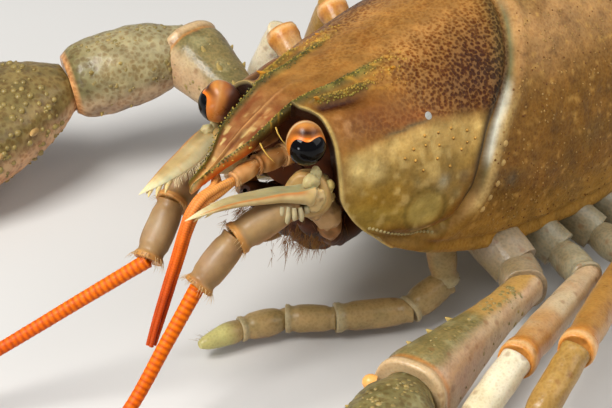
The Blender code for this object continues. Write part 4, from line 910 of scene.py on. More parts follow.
# %% Walking legs
HIPS = ((7.0, 29.2, 9.0), (7.0, 34.5, 8.5), (7.0, 40.0, 8.0), (7.0, 45.0, 8.0))
LEFT_LEGS = (
    ((13.2, 30.2, 5.6), (19.5, 27.0, 6.4), (27.6, 5.3, 10.5), (28.6, -3.4, 7.0), (30.6, -13.5, 0.35)),
    ((13.2, 36.5, 5.0), (19.5, 34.5, 5.6), (31.4, 9.6, 11.3), (32.6, 1.6, 7.0), (36.0, -7.5, 0.35)),
    ((12.8, 41.5, 4.6), (18.5, 43.0, 6.2), (31.0, 46.0, 14.0), (35.5, 49.5, 6.0), (38.5, 53.5, 0.3)),
    ((12.4, 47.5, 4.6), (17.0, 51.0, 5.8), (26.5, 62.5, 12.5), (31.0, 69.5, 5.6), (34.0, 76.0, 0.3)),
)
RIGHT_LEGS = (
    ((13.2, 30.2, 5.6), (18.5, 30.5, 7.0), (31.0, 33.0, 15.0), (34.0, 31.5, 7.0), (37.0, 29.5, 0.35)),
    ((13.2, 36.0, 5.0), (18.5, 37.5, 6.4), (31.5, 42.0, 15.0), (35.0, 42.5, 7.0), (38.5, 43.0, 0.35)),
    ((12.8, 42.0, 4.6), (18.0, 44.5, 6.0), (29.5, 53.0, 14.0), (33.5, 56.5, 6.0), (37.0, 60.0, 0.3)),
    ((12.4, 48.0, 4.6), (16.5, 51.5, 5.6), (25.0, 65.5, 12.0), (29.0, 72.0, 5.4), (32.0, 78.0, 0.3)),
)
LEG_SIZES, PINCERS = (1.0, 0.97, 0.9, 0.84), 2


def leg_paint(number, k, share, turn, points):
    """Walking legs: the first is pink cream with an ivory shin, the others are tan with a fine brown net."""
    patch, fine = noise(points, 1.8, 20 + k), noise(points, 0.5, 25)
    if k < 2:
        return shades("#9A957C", "#887A5A", patch)
    if k == 2:
        pink = mix(shades("#CDBC98", "#C4A47E", patch), "#BC8A4C", step(share + 0.2 * patch, 0.3, 1.0))
        return coats(
            shades("#BA8C46", "#A87634", patch) if number else pink,
            ("#8A5420", step(fine + 0.4 * patch, 0.35, 0.8) * (0.5 if number else 0.2)),
            ("#D08C3C", step(share, 0.86, 0.92)),
            # Painted highlight: a pale ring on the lip of the collar.
            ("#EFC88E", bell(share, 0.972, 0.014) * 0.7),
            ("#7A4212", bell(share, 0.905, 0.008) * 0.7))
    if k == 3:
        shin = shades("#AE8A46", "#9A7436", patch) if number else shades("#E6DFC8", "#D8CBA4", patch)
        return mix(shin, "#8C6A3C", step(fine + 0.4 * patch, 0.6, 0.9) * 0.5)
    return mix("#CDB37A", "#8A6238", step(share, 0.3, 1.0))


print("joints of a leg:", 1 + len(LEFT_LEGS[0]))

# %% Build the walking legs
for side, letter, legs in ((1, "L", LEFT_LEGS), (-1, "R", RIGHT_LEGS)):
    for number, (hip, joints, size) in enumerate(zip(HIPS, legs, LEG_SIZES)):
        joints = np.array((hip, *joints)) * (side, 1, 1)
        knuckle, toe = joints[4:]
        radii = [((0, 2.4 * size), (1, 2.1 * size)), swell(1.5 * size, 1.75 * size, 1.7 * size),
                 swell(1.35 * size, 1.6 * size, 1.85 * size), swell(1.55 * size, 1.6 * size, 1.55 * size),
                 ((0, 1.1 * size), (0.12, 1.3 * size), (0.5, 1.15 * size), (0.8, 0.75 * size), (0.95, 0.4),
                  (1, 0.2))]
        leg = Form()
        limb(leg, joints, radii, lambda *place: leg_paint(number, *place), rough=0.05, around=26, rows=36)
        if number < PINCERS:
            along = unit(toe - knuckle)
            aside = level(along) * side
            root = knuckle + 0.5 * (toe - knuckle) - 0.3 * aside
            limb(leg, [root, root + 2.2 * along - 1.0 * aside, toe - 0.75 * aside + (0, 0, 0.15)],
                 [((0, 0.6), (1, 0.75)), ((0, 0.75), (0.8, 0.5), (1, 0.2))],
                 lambda *place: rgb("#B08A54") + 0 * place[-1], rough=0.0, rows=12, around=12)
        roots = leg.points[4][leg.points[4][:, 2] > 0.4]
        outs = unit(roots - (knuckle + toe) / 2)
        fuzz(roots, outs * 0.5, unit(toe - knuckle), 60, 1.0, "#8A5E2C", seed=number + 5)
        name = f"leg_{number + 2}_{letter}"
        leg.piece(f"walking_{name}", LIMB, "limb", f"{name}_upper", f"{name}_lower")
print("legs:", sum(n for _, n in TALLY[-8:]), "triangles")

# %% [markdown]
# ## Chelipeds
# The long part of the arm, the merus, is olive above and cream below, with rows of small spines. They stay
# separate cones, because they would blur in a bump.

# %% Arms
LEFT_ARM = ((7.0, 23.0, 10.6), (13.6, 22.6, 7.2), (17.0, 19.8, 7.2), (21.4, -3.0, 7.5), (26.2, -14.4, 7.2))
RIGHT_ARM = ((-7.0, 23.0, 10.6), (-13.6, 22.6, 7.6), (-17.4, 21.2, 8.6), (-37.0, 23.6, 14.1),
             (-43.8, 11.6, 11.4))
ROOT, ISCHIUM = ((0, 2.8), (1, 2.5)), ((0, 2.0), (0.2, 2.1), (0.5, 2.3), (0.9, 2.3), (1, 2.35))
MERUS = ((0, 1.75), (0.06, 1.8), (0.3, 2.1), (0.62, 3.0), (0.80, 3.6), (0.92, 3.85), (0.955, 3.75),
         (0.975, 3.95), (1, 3.85))
CARPUS = ((0, 2.7), (0.1, 3.2), (0.25, 4.0), (0.55, 4.5), (0.8, 4.4), (0.93, 4.0), (1, 3.3))


def arm_paint(k, share, turn, points):
    """Arm: root darkened grey as painted shade under the body, olive back with gold specks, cream belly,
    and a pink-cream rim at the elbow.
    """
    patch, fine = noise(points, 2.2, 30), noise(points, 0.6, 31)
    # The root lies under the body, so it is painted grey and dark as shade.
    if k < 2:
        return shades("#A2927A", "#867654", patch)
    cream = mix(shades("#C4AE88", "#B8906E", patch), "#9A7A50", step(fine, 0.35, 0.7) * 0.4)
    olive = coats(
        shades("#68623A", "#86784A", patch),
        ("#A8A276", step(noise(points, 1.0, 35), 0.3, 0.8) * 0.5),
        ("#4E4A24", step(fine, 0.4, 0.75) * 0.5),
        ("#C2B48C", 0.42 * (k == 3) * (points[..., 0] < -16) * step(share, 0.95, 0.7)))
    if k == 3:
        return coats(cream, (olive, step(np.sin(turn) + 0.2 * patch, -0.4, 0.1)),
                     ("#D9A066", step(share, 0.95, 0.98)))
    above = step(np.sin(turn) + 0.75 * np.cos(turn) * (points[..., 0] > 0) + 0.2 * patch, 0.25, 0.8)
    olive = mix("#B08A4A", olive, step(share + 0.1 * patch, 0.28, 0.48))
    return coats(cream, (olive, above), ("#C07A34", bell(share, 0.945, 0.010) * 0.8),
                 ("#C8AC82", step(share, 0.95, 0.965)))


def crosswise(along, side):
    """The two directions across a limb: to the middle of the animal, and up."""
    mesial = np.array([-1.0 * side, 0, 0])
    inward = unit(mesial - (mesial @ along) * along)
    return inward, upright(unit(np.cross(inward, along)))


def arm_studs(form, start, end, widths, side, count, size, spines, draw):
    """Grains all over one segment of an arm, and two rows of spines on its inner side."""
    along = unit(end - start)
    inward, up = crosswise(along, side)
    stations, radii = np.transpose(widths)
    share = 0.12 + 0.76 * draw.random(count)
    tilt = np.radians(90 + 62 * draw.normal(size=count))
    outs = np.cos(tilt)[:, None] * inward + np.sin(tilt)[:, None] * up
    at = start + share[:, None] * (end - start) + (curve(share, stations, radii) * 0.985)[:, None] * outs
    tints = mix("#7A6C3C", "#A08850", draw.random(count))
    form.studs(at, outs, size * (0.6 + 0.7 * draw.random(count)), 0.6 * size, tints, DOME)
    for place in spines:
        for tilt in (0.75, -0.55):
            out = unit(inward * math.cos(tilt) + up * math.sin(tilt))
            base = start + place * (end - start) + out * curve(place, stations, radii) * 0.85
            form.studs(base, out + 0.45 * along, 0.5, 1.25, "#A89050", SPINE, sides=10)


def grow_arm(letter, side, joints, draw):
    """The arm down to its elbow, and the wrist segment."""
    arm, wrist = Form(), Form()
    limb(arm, joints[:4], [ROOT, ISCHIUM, MERUS], arm_paint, rough=0.06, rows=70, around=44, power=2.4)
    limb(wrist, joints[3:], [CARPUS], lambda _, *place: arm_paint(3, *place), rough=0.12, rows=60, around=44)
    arm_studs(arm, *joints[2:4], MERUS, side, 150, 0.24, (0.50, 0.64, 0.78), draw)
    arm_studs(wrist, *joints[3:], CARPUS, side, 140, 0.27, (0.55, 0.8), draw)
    knob = joints[3] + (-3.2 * side, -1.7, 1.1)
    arm.studs(knob, (-side, -0.7, 0.5), 0.85, 0.9, "#E8AA5C", DOME, sides=14)
    arm.piece(f"arm_{letter}", LIMB, "limb", f"cheliped_{letter}_merus")
    wrist.piece(f"wrist_{letter}", CLAW, "claw", f"cheliped_{letter}_carpus")


print("reach of the left arm:", round(float(np.linalg.norm(np.subtract(LEFT_ARM[4], LEFT_ARM[0]))), 1), "mm")

# %% [markdown]
# The claws are broad and granular, with blunt teeth along both fingers. Each finger is a tube through
# stations that give its shift, width and thickness, so that the bend of the finger needs no deforming.

# %% Claws
CLAW_LENGTH, CLAW_SQUARE, TOOTH_SINK = 46.0, 2.3, 0.2
LEFT_CLAW, RIGHT_CLAW = (-0.14, -0.98, -0.05), (-0.357, -0.905, -0.235)
PALM = ((0.0, 0.0, 2.7, 2.6), (0.05, 0.0, 4.4, 3.5), (0.13, 0.1, 6.6, 4.5), (0.24, 0.2, 8.4, 5.1),
        (0.36, 0.2, 9.3, 5.2), (0.484, 0.1, 9.0, 4.7))
FINGER = ((0.499, -4.7, 4.3, 4.1), (0.64, -5.1, 3.7, 3.3), (0.80, -4.8, 2.8, 2.5), (0.91, -3.6, 1.9, 1.8),
          (0.98, -2.2, 0.95, 0.9), (1.0, -1.7, 0.4, 0.4))
THUMB = ((0.507, 4.6, 3.8, 3.7), (0.55, 5.0, 4.1, 3.7), (0.62, 5.0, 3.7, 3.3), (0.74, 4.4, 3.0, 2.7),
         (0.85, 3.2, 2.2, 2.0), (0.94, 1.6, 1.4, 1.3), (0.99, 0.2, 0.7, 0.7), (1.005, -0.3, 0.35, 0.35))
PALM_SPINES = np.array([0.14, 0.24, 0.34, 0.43])


def claw_paint(share, turn, points):
    """Claw: mottled olive brown above with orange finger tips, cream to orange below."""
    patch, fine = noise(points, 3.0, 33), noise(points, 0.8, 34)
    top = mix(shades("#77683A", "#8E7644", patch), "#544A28", step(fine, 0.2, 0.8) * 0.6)
    return coats(
        mix("#D9B88A", "#C8763A", 0.4 + 0.4 * patch),
        (top, step(np.sin(turn) + 0.2 * patch, -0.3, 0.25)),
        ("#C46A30", step(share, 0.86, 0.99) * 0.7))


def claw_sizes(table, share):
    """Shift, width and thickness of a claw's part at a share of the claw's length."""
    stations, *sizes = np.transpose(table)
    return [curve(share, stations, size) for size in sizes]


def grow_claw(letter, side, wrist, along, draw):
    """The palm with its fixed finger, and the thumb that moves in life."""
    inward, up = crosswise(along, side)
    start = wrist + 0.15 * along
    palm, thumb = Form(), Form()

    def middle(share, shift):
        """Points at a share of the claw's length, shifted inwards."""
        return start + (share * CLAW_LENGTH)[..., None] * along + shift[..., None] * inward

    def skin(table, share, turn):
        """Points and outward directions on the surface of one part."""
        shift, width, thick = claw_sizes(table, share)
        c, s = squared(turn, CLAW_SQUARE)
        outs = unit(c[..., None] * inward + 1.4 * s[..., None] * up)
        return middle(share, shift + width * c) + (thick * s)[..., None] * up, outs

    for form, table, low, high, rows in ((palm, PALM, 0, 0.484, 80), (palm, FINGER, 0.44, 1.0, 90),
                                         (thumb, THUMB, 0.507, 1.005, 80)):
        shares = np.linspace(low, high, rows)
        turn, share = np.meshgrid(turns(56), np.maximum(shares, table[0][0]))
        grid, outs = skin(table, share, turn)
        grid = grid + (np.minimum(shares - table[0][0], 0) * CLAW_LENGTH)[:, None, None] * along
        grid = grid + (0.16 * noise(grid, 1.5, 40) + 0.10 * noise(grid, 0.7, 41))[..., None] * outs
        grid[..., 2] = np.maximum(grid[..., 2], 0.0)
        form.tube(grid, claw_paint(share, turn, outs * 5 + grid))
    share = np.linspace(0.53, 0.95, 16)
    for form, table, sign in ((palm, FINGER, 1), (thumb, THUMB, -1)):
        shift, width, _ = claw_sizes(table, share)
        size = 0.55 + 0.8 * draw.random(len(share)) * (1 - share)
        at = middle(share, shift + sign * (width - TOOTH_SINK))
        form.studs(at, sign * inward, size, 0.8 * size, "#E0CDA4", DOME, sides=9)
    for form, table, low, high, count in ((palm, PALM, 0.06, 0.47, 420), (palm, FINGER, 0.52, 0.93, 160),
                                          (thumb, THUMB, 0.53, 0.93, 160)):
        at, outs = skin(table, low + (high - low) * draw.random(count), 2 * math.pi * draw.random(count))
        size, keep = 0.17 + 0.26 * draw.random(count), at[:, 2] > 1.0
        form.studs(at[keep], outs[keep], size[keep], 0.7 * size[keep], "#8E7A42", DOME)
    at = middle(PALM_SPINES, claw_sizes(PALM, PALM_SPINES)[1] - 0.7) + 0.9 * up
    palm.studs(at, 1.5 * inward + 0.7 * along + 0.5 * up, 0.7, 1.7, "#B08C54", SPINE, sides=10)
    palm.piece(f"claw_{letter}", CLAW, "claw", f"cheliped_{letter}_claw")
    thumb.piece(f"claw_thumb_{letter}", CLAW, "claw", f"cheliped_{letter}_thumb")


for side, letter, joints, pointing in ((1, "L", LEFT_ARM, LEFT_CLAW), (-1, "R", RIGHT_ARM, RIGHT_CLAW)):
    draw = np.random.default_rng(11)
    grow_arm(letter, side, np.array(joints), draw)
    grow_claw(letter, side, np.array(joints[4]), unit(pointing), draw)
print("arms and claws:", sum(n for _, n in TALLY[-8:]), "triangles")

# %% [markdown]
# ## Feelers
# Each antenna has a knobbly base block with a leaf-like scale, a stem of two glossy segments, and a whip of
# many short rings. The base gathers small swollen balls round a plain segment, because its bumps follow no
# row. A whip is one rod whose radius and tint both follow its rings.

# %% Antennae
STEM_LEFT = ((5.0, 1.0, 22.1), (6.8, -1.9, 23.5), (4.3, -9.0, 20.6), (3.4, -13.2, 16.7))
STEM_RIGHT = ((-5.0, 1.0, 22.1), (-6.8, -1.9, 23.5), (-5.0, -8.6, 20.4), (-3.9, -12.9, 16.4))
WHIP_LEFT = ((3.4, -13.2, 16.7), (3.1, -17.2, 12.0), (2.9, -21.8, 6.9), (2.6, -27.5, 2.9), (1.6, -36.0, 1.7),
             (-2.0, -50.0, 1.5), (-8.0, -64.0, 1.5), (-16.0, -76.0, 1.4))
WHIP_RIGHT = ((-3.9, -12.9, 16.4), (-8.0, -18.0, 12.4), (-13.0, -25.5, 7.4), (-17.5, -33.5, 3.2),
              (-22.0, -43.0, 1.7), (-27.5, -54.0, 1.5), (-35.0, -66.0, 1.5), (-44.0, -77.0, 1.4))
BLOCK = ((0, 1.6), (0.2, 2.0), (0.5, 2.3), (0.8, 2.2), (0.93, 2.1), (1, 1.8))
LUMPS = (((6.4, 0.4, 23.4), (1.2, 1.1, 1.3), "#BCA470"), ((6.6, -0.6, 21.6), (1.2, 1.1, 1.5), "#AE8A58"),
         ((6.2, 1.6, 19.8), (1.5, 1.4, 1.9), "#B08A5A"), ((5.7, 2.6, 17.6), (1.3, 1.3, 1.4), "#9A6A3C"),
         ((7.1, -1.4, 24.8), (0.7, 0.9, 0.9), "#AFA070"), ((7.5, 0.5, 23.7), (0.55, 0.8, 0.7), "#C4AC68"),
         ((7.5, 0.7, 22.4), (0.5, 0.6, 0.5), "#CDB06C"), ((7.7, -1.3, 23.1), (0.8, 1.2, 1.2), "#C6A872"),
         ((6.9, -0.6, 25.3), (0.5, 0.6, 0.9), "#B4A676"), ((6.4, -2.9, 22.0), (0.8, 1.3, 0.9), "#A08050"))
LOBES = ((6.7, -5.0, 23.5), (7.0, -4.5, 23.4), (7.3, -4.0, 23.2), (7.5, -3.4, 23.1), (7.6, -2.7, 23.0))
LOBE_OUTS = ((0.3, -0.5, -1.0), (0.3, -0.4, -1.0), (0.35, -0.3, -1.0), (0.3, -0.1, -1.0), (0.2, 0.1, -1.0))
RING_PITCH, POINTS_PER_RING = 0.62, 5
print("stations of a whip:", len(WHIP_LEFT))

# %% Rods, rings and paint of the antennae


def rod(form, line, radii, sides, tint):
    """A round rod along a line, kept from twisting, with closed ends."""
    heading = unit(np.gradient(line, axis=0))
    side = unit(np.cross(heading[0], (0.2, 0.1, 1)))
    turn = turns(sides)[:, None]
    rings = []
    for centre, along, radius in zip(line, heading, radii):
        side = unit(side - (side @ along) * along)
        rings.append(centre + radius * (np.cos(turn) * side + np.sin(turn) * np.cross(along, side)))
    form.tube(np.array(rings), np.repeat(tint[:, None], sides, axis=1))


def proud(place, rings, width):
    """How far each place along a whip stands out of the dents between its rings."""
    return 1 - bell((place * rings) % 1.0, 0.5, width)


def block_paint(k, share, turn, points):
    """Feeler base: tan with brown specks."""
    return mix(mix("#B0935C", "#96703A", 0.5 + 0.6 * noise(points, 1.3, 51)), "#6E5630",
               step(noise(points, 0.7, 52), 0.3, 0.7) * 0.5)


def stem_paint(k, share, turn, points):
    """Feeler stem: pinkish cream with a painted highlight along the top, and orange-tan rims at the joints.
    """
    patch = noise(points, 1.4, 50 + k)
    return coats(
        shades("#9A7C50", "#886642", patch),
        # Painted highlight along the top of each segment.
        ("#A08C76", bell(share, 0.5, 0.25) * step(np.sin(turn), 0.3, 0.9) * 0.3),
        ("#B0702C", step(np.sin(turn), -0.1, -0.8) * 0.6),
        ("#BC8038", step(share, 0.86, 0.95) * 0.65),
        ("#8A5A2A", step(patch, 0.55, 0.85) * step(share, 0.75, 0.9) * 0.5),
        ("#8A6638", step(share, 0.1, 0.0) * 0.6))


def lump(at, size, shade, flip):
    """The points and the tints of one swollen ball on the feeler's base."""
    polar, swing = np.linspace(0.02, math.pi - 0.02, 22)[:, None], turns(30)[None, :]
    skin = np.stack([np.sin(polar) * np.cos(swing), np.sin(polar) * np.sin(swing),
                     np.cos(polar) + 0 * swing], axis=-1)
    points = np.array(at) + skin * size * (1 + 0.13 * noise(skin * 2 + np.array(at), 0.8, 53))[..., None]
    return points * flip, mix(shade, "#6A4A26", step(noise(points, 0.5, 54), 0.1, 0.7) * 0.7)


print("swollen balls on each base:", len(LUMPS))

# %% Build the antennae
for side, letter, stem, whip_line in ((1, "L", STEM_LEFT, WHIP_LEFT), (-1, "R", STEM_RIGHT, WHIP_RIGHT)):
    stem, flip = np.array(stem), np.array([side, 1, 1])
    base, stems, whip = Form(), Form(), Form()
    limb(base, stem[:2], [BLOCK], block_paint, rough=0.16, rows=44, around=40)
    for bump in LUMPS:
        base.grid(*lump(*bump, flip), wrap=True)
    base.studs(LOBES * flip, LOBE_OUTS * flip, 0.29, (1.0, 1.7, 1.3, 1.5, 0.9), "#A49672", LOBE, sides=12)
    base.piece(f"feeler_base_{letter}", STEM, "scale", f"antenna_base_{letter}")
    start = stem[1] + 0.17 * (stem[2] - stem[1])
    limb(stems, [start, *stem[2:]], [swell(1.2, 1.56, 1.62), swell(1.38, 1.5, 1.42)], stem_paint, rough=0.03,
         rows=54, around=36)
    stems.piece(f"feeler_stem_{letter}", STEM, "scale", f"antenna_stem_{letter}")
    for before_joint, joint in zip(stem[1:], stem[2:]):
        along = unit(joint - before_joint)
        turn = np.linspace(0, 2 * math.pi, 60)[:, None]
        aside = level(along)
        ring = np.cos(turn) * aside + np.sin(turn) * np.cross(aside, along)
        fuzz(joint - 0.4 * along + 1.5 * ring, ring * 0.6, along, 40, 0.9, "#C8A26A", radius=0.03,
             spread=0.3, seed=3)
    total = np.linalg.norm(np.diff(route(whip_line, 400), axis=0), axis=1).sum()
    place = np.linspace(0, 1, int(total / RING_PITCH) * POINTS_PER_RING + 1)
    stands = proud(place, total / RING_PITCH, 0.36)
    tint = coats(mix("#E87202", "#DA5600", step(place, 0.05, 0.3)), ("#A03404", (1 - stands) ** 2 * 0.75),
                 ("#B8480E", step(place, 0.3, 1.0) * 0.5))
    thick = np.interp(place, (0, 0.03, 0.25, 1), (0.78, 0.74, 0.64, 0.24))
    rod(whip, route(whip_line, len(place)), thick * (0.955 + 0.045 * stands), 16, tint)
    whip.piece(f"feeler_whip_{letter}", WHIP, "antenna", *(f"antenna_{letter}_{k}" for k in (1, 2, 3)))
print("whip length:", round(float(total), 1), "mm")

# %% [markdown]
# The scale beside each antenna is a keeled outer edge that ends in a spine, with a blade that droops
# inwards. A flat plate would lose the thick edge, so one closed outline runs along a line, and it thins out
# towards the tip.

# %% Antennal scales
SCALE_LEFT = ((8.2, -1.9, 24.9), (7.63, -3.17, 24.73), (6.85, -4.88, 24.92), (5.96, -6.84, 24.95),
              (4.85, -9.28, 24.99), (3.89, -11.38, 24.73), (2.72, -13.95, 24.15))
SCALE_RIGHT = ((7.6, -1.9, 25.2), (6.9, -3.4, 25.5), (6.2, -5.2, 25.6), (5.5, -7.2, 25.5), (4.8, -9.6, 25.3),
               (4.2, -11.6, 25.0), (3.6, -14.0, 24.4))


def scale_piece(side, letter, points, breadth):
    """The leaf of the antenna. Its outline goes over the top, back below, and round the outer edge."""
    line, flip = route(points, 70), np.array([side, 1, 1])
    t = np.linspace(0, 1, 70)[:, None]
    width = breadth * curve(t, (0, 0.12, 0.4, 0.7, 0.9, 1.0), (3.2, 3.4, 3.5, 2.5, 1.0, 0.06))
    wall = curve(t, (0, 0.04, 0.1, 0.25, 0.4, 0.6, 0.8, 1.0), (0.9, 1.7, 1.35, 0.95, 0.72, 0.52, 0.34, 0.05))
    inward = np.array([-0.906, 0.394, -0.17])
    forward = line[-1] - line[0]
    up = upright(unit(np.cross(inward, forward)))
    forward = unit(forward)
    across = np.concatenate([np.linspace(0, 1, 20), np.linspace(1, 0, 20)[:-1], np.zeros(10)])
    on_top, on_edge = np.arange(49) < 20, np.arange(49) >= 39
    down = np.where(on_top, 0, curve(across, (0, 0.3, 1), (1.0, 0.45, 0.25)))
    down[on_edge] = np.linspace(1, 0, 11)[:-1]
    bulge = np.where(on_edge, np.sin(math.pi * down), 0)
    droop = 0.8 * np.clip(across - 0.5, 0, 1) ** 2
    groove = 0.10 * bell(across, 0.3, 0.15) * on_top
    ring = (line[:, None] + (width * across - 0.22 * wall * bulge)[..., None] * inward
            - (wall * (down + groove) + width * droop)[..., None] * up)
    grain = noise(ring, 0.9, 60)
    edge = np.maximum(bell(across, 0, 0.05) * on_top, (np.arange(49) > 39) * bell(down, 0.05, 0.16))
    tone = coats(
        shades("#A68A54", "#BCA676", grain),
        (shades("#7A7C5C", "#9A946A", grain), on_top * step(across, 0.02, 0.1) * (1 - 0.7 * t) * (side > 0)),
        ("#C2B88E", on_top * step(across, 0.5, 0.8)),
        ("#E2D2A2", step(t, 0.7, 0.95)),
        ("#A8682C", edge * window(t, 0.03, 0.12, 0.8, 0.97) * 0.9),
        ("#A8844E", step(noise(ring, 0.5, 63), 0.4, 0.8) * 0.4))
    leaf = Form()
    leaf.tube(ring, tone, flip)
    roots = line[[60, 54]] + np.outer((0.3, 0.4), inward) - np.outer((0.3, 0.4), up)
    leaf.studs(roots * flip, (forward - 0.5 * up) * flip, 0.16, 0.9, "#D8C088", SPINE, sides=8)
    if side < 0:
        nicks = (ring[[50, 56, 61], 19] - 0.3 * inward - 0.25 * up) * flip
        leaf.studs(nicks, (forward + 0.30 * inward - 0.12 * up) * flip, (0.36, 0.32, 0.26), (1.8, 1.5, 1.1),
                   "#C6B07A", SPINE, sides=10)
    fuzz(ring[12:50, 19] * flip, (inward - 0.6 * up) * flip, forward * flip * 0.8, 110, 0.9, "#E2CE9C",
         radius=0.025, spread=0.15, seed=4)
    leaf.piece(f"feeler_scale_{letter}", STEM, "scale", f"antennal_scale_{letter}")


scale_piece(1, "L", SCALE_LEFT, 1.0)
scale_piece(-1, "R", SCALE_RIGHT, 0.66)
print("scales:", TALLY[-2:])

# %% [markdown]
# The antennules are the small feelers between the two long ones. Each has three short segments and ends in
# two whips, which hang in front of the mouth as in the photo.

# %% Antennules
ANTENNULE = ((2.3, 4.0, 25.2), (2.1, -0.4, 25.4), (1.75, -3.6, 25.5), (1.5, -6.4, 24.9))
ANTENNULE_RADII = (((0, 1.15), (1, 1.15)), swell(0.92, 1.05, 1.0), swell(0.72, 0.85, 0.78))


def root_paint(k, share, turn, points):
    """Antennule: orange tan with dark brown patches."""
    return mix(mix("#A86A2C", "#C89C68", 0.5 + 0.6 * noise(points, 0.8, 61)), "#6A3C18",
               step(noise(points, 1.2, 62), 0.1, 0.6) * 0.6)


for side, letter in SIDES:
    joints = np.array(ANTENNULE) * (side, 1, 1)
    small = Form()
    limb(small, joints, ANTENNULE_RADII, root_paint, rough=0.05, rows=30, around=22)
    x = 1.3 - 0.42 * (side < 0)
    place = np.linspace(0, 1, 500)
    stands = proud(place, 80, 0.3)
    tint = coats(mix("#DC9A50", "#DC640C", step(place, 0.1, 0.5)), ("#A83808", step(place, 0.45, 0.8) * 0.8),
                 ("#8A3208", (1 - stands) * 0.35))
    for number in (0, 1):
        back = 0.66 * number
        line = route([((1.5 - 0.1 * number) * side, -6.0, 24.9 - 0.2 * number),
                      (x, -8.6 + back, 24.7 - back), (x, -10.5 + back, 24.3 - back),
                      (x, -11.8 + back, 23.2 - back * 0.5), (x, -12.7 + back, 21.6),
                      (x, -13.7 + back, 19.4), (x, -15.0 + back, 16.7), (x, -16.4 + back, 13.7),
                      (x, -17.5 + back * 0.6, 11.0)], 500)
        thick = np.interp(place, (0, 0.3, 1), (0.40, 0.37, 0.24))
        rod(small, line, thick * (0.95 + 0.05 * stands), 12, tint)
    small.piece(f"small_feeler_{letter}", WHIP, "antenna", f"antennule_{letter}")
    for joint in joints[1:]:
        tuft = unit(np.random.default_rng(9).normal(size=(80, 3)))
        fuzz(joint + 0.85 * tuft, tuft * 0.5, (0, -1, 0), 36, 0.9, "#C09A68", radius=0.024, spread=0.3,
             seed=8)
print("antennules:", TALLY[-2:])

# %% [markdown]
# ## Mouth
# Under the head lie the third maxillipeds, which are jaws that look like small legs, and a crowd of smaller
# jaws. All of them are hairy. The smaller jaws are in deep shadow, so rough simple tubes are enough.

# %% Mouthparts
PALP_LEFT = ((6.2, 18.2, 12.5), (7.2, 18.8, 4.2), (6.3, 14.2, 2.4), (1.6, 7.8, 2.3), (-2.1, 4.3, 2.2),
             (-4.2, -0.3, 2.1), (-5.3, -5.0, 1.9))
PALP_RIGHT = ((-6.2, 15.4, 12.6), (-5.6, 7.2, 11.2), (-4.6, 2.2, 12.6), (-3.6, -0.6, 15.4))
PALP_LEFT_RADII = (swell(1.5, 1.6, 1.5), swell(1.45, 1.55, 1.5), swell(1.3, 1.5, 1.5), swell(1.2, 1.4, 1.45),
                   swell(1.1, 1.4, 1.3), ((0, 1.0), (0.15, 1.15), (0.6, 0.95), (0.9, 0.6), (1.0, 0.4)))
PALP_RIGHT_RADII = (swell(1.6, 1.7, 1.5), swell(1.2, 1.4, 1.3),
                    ((0, 1.1), (0.4, 1.05), (0.9, 0.6), (1, 0.4)))
JAWS = ((((1.8, 9.0, 16.0), (1.9, 5.5, 14.4), (1.8, 1.6, 16.4)),
         (((0, 2.0), (1, 2.1)), ((0, 2.1), (0.5, 1.9), (0.9, 1.1), (1, 0.7)))),
        (((4.4, 9.5, 15.6), (4.4, 4.6, 15.6), (3.9, 0.4, 18.6)),
         (((0, 1.5), (1, 1.5)), ((0, 1.5), (0.5, 1.3), (0.9, 0.9), (1, 0.6)))))


def palp_paint(k, share, turn, points):
    """Mouth leg: tan and olive grey, pale at each joint, yellow green at the tip."""
    return coats(
        shades("#B89A66", "#8C7C50", noise(points, 1.5, 70)),
        ("#A0744E", step(-np.sin(turn), 0.2, 0.9) * 0.5),
        ("#B8AC86", step(share, 0.82, 0.95) * 0.7),
        ("#C2BC78", step(share, 0.05, 0.5) * (k == 5)))


long_palp, short_palp, jaws = Form(), Form(), Form()
limb(long_palp, PALP_LEFT, PALP_LEFT_RADII, palp_paint, rough=0.05)
long_palp.piece("long_palp_L", LIMB, "limb", "maxilliped_L")
for k in range(1, 6):
    start, end = np.array(PALP_LEFT[k:k + 2])
    t = np.linspace(0.1, 0.95, 40)[:, None]
    aside = level(end - start)
    line = start + (end - start) * t + 1.3 * aside * (0.9 if k < 5 else 0.6)
    fuzz(line, aside, unit(end - start) * 0.6, 40, 0.9, "#A08048", radius=0.025, seed=k + 20)
limb(short_palp, PALP_RIGHT, PALP_RIGHT_RADII,
     lambda *place: shades("#A9824E", "#7A5028", noise(place[-1], 1.4, 71)), rough=0.05)
short_palp.piece("long_palp_R", MOUTH, "mouth", "maxilliped_R")
for side in (-1, 1):
    for joints, radii in JAWS:
        limb(jaws, np.array(joints) * (side, 1, 1), radii,
             lambda *place: mix("#582C10", "#241004", 0.5 + 0.6 * noise(place[-1], 1.2, 72)), rough=0.22)
    roots = np.array([[1.8 * side, 2.4, 15.6], [4.2 * side, 2.0, 16.6]])
    roots = (roots + np.random.default_rng(4).normal(size=(200, 1, 3)) * (0.6, 1.4, 0.9)).reshape(-1, 3)
    fuzz(roots, (0.5 * side, -0.5, -0.4), (0, -0.3, -0.6), 620, 1.1, "#8A4E1C", radius=0.028, spread=0.45,
         seed=30)
jaws.piece("jaws", MOUTH, "mouth", "mouthparts")
print("mouth:", TALLY[-3:])

# %% [markdown]
# ## Abdomen and tail fan
# Each ring slides under the one before it, and its side flaps hang down to a point. One outline serves all
# six rings. It is scaled along the ring, which is quicker to change than six modelled rings.

# %% Tail rings
TAIL_AXIS = np.array(((0, 49.6, 21.3), (0, 57.4, 20.6), (0, 65.4, 18.6), (0, 73.2, 15.6), (0, 81.0, 12.0),
                      (0, 88.8, 8.6), (0, 97.0, 5.6)))
RING_WIDTH, RING_HEIGHT = (11.2, 11.9, 11.6, 10.9, 10.0, 8.9), (9.0, 9.2, 8.8, 8.0, 7.0, 5.6)
PLEURON, BELLY_DEPTH = (1.2, 5.6, 5.4, 5.0, 4.2, 2.2), (4.6, 4.4, 4.2, 3.8, 3.4, 2.6)
LAST_TAPER = 0.26
RING_PLACES = (-0.1, 0.0, 0.125, 0.45, 0.775, 1.0)


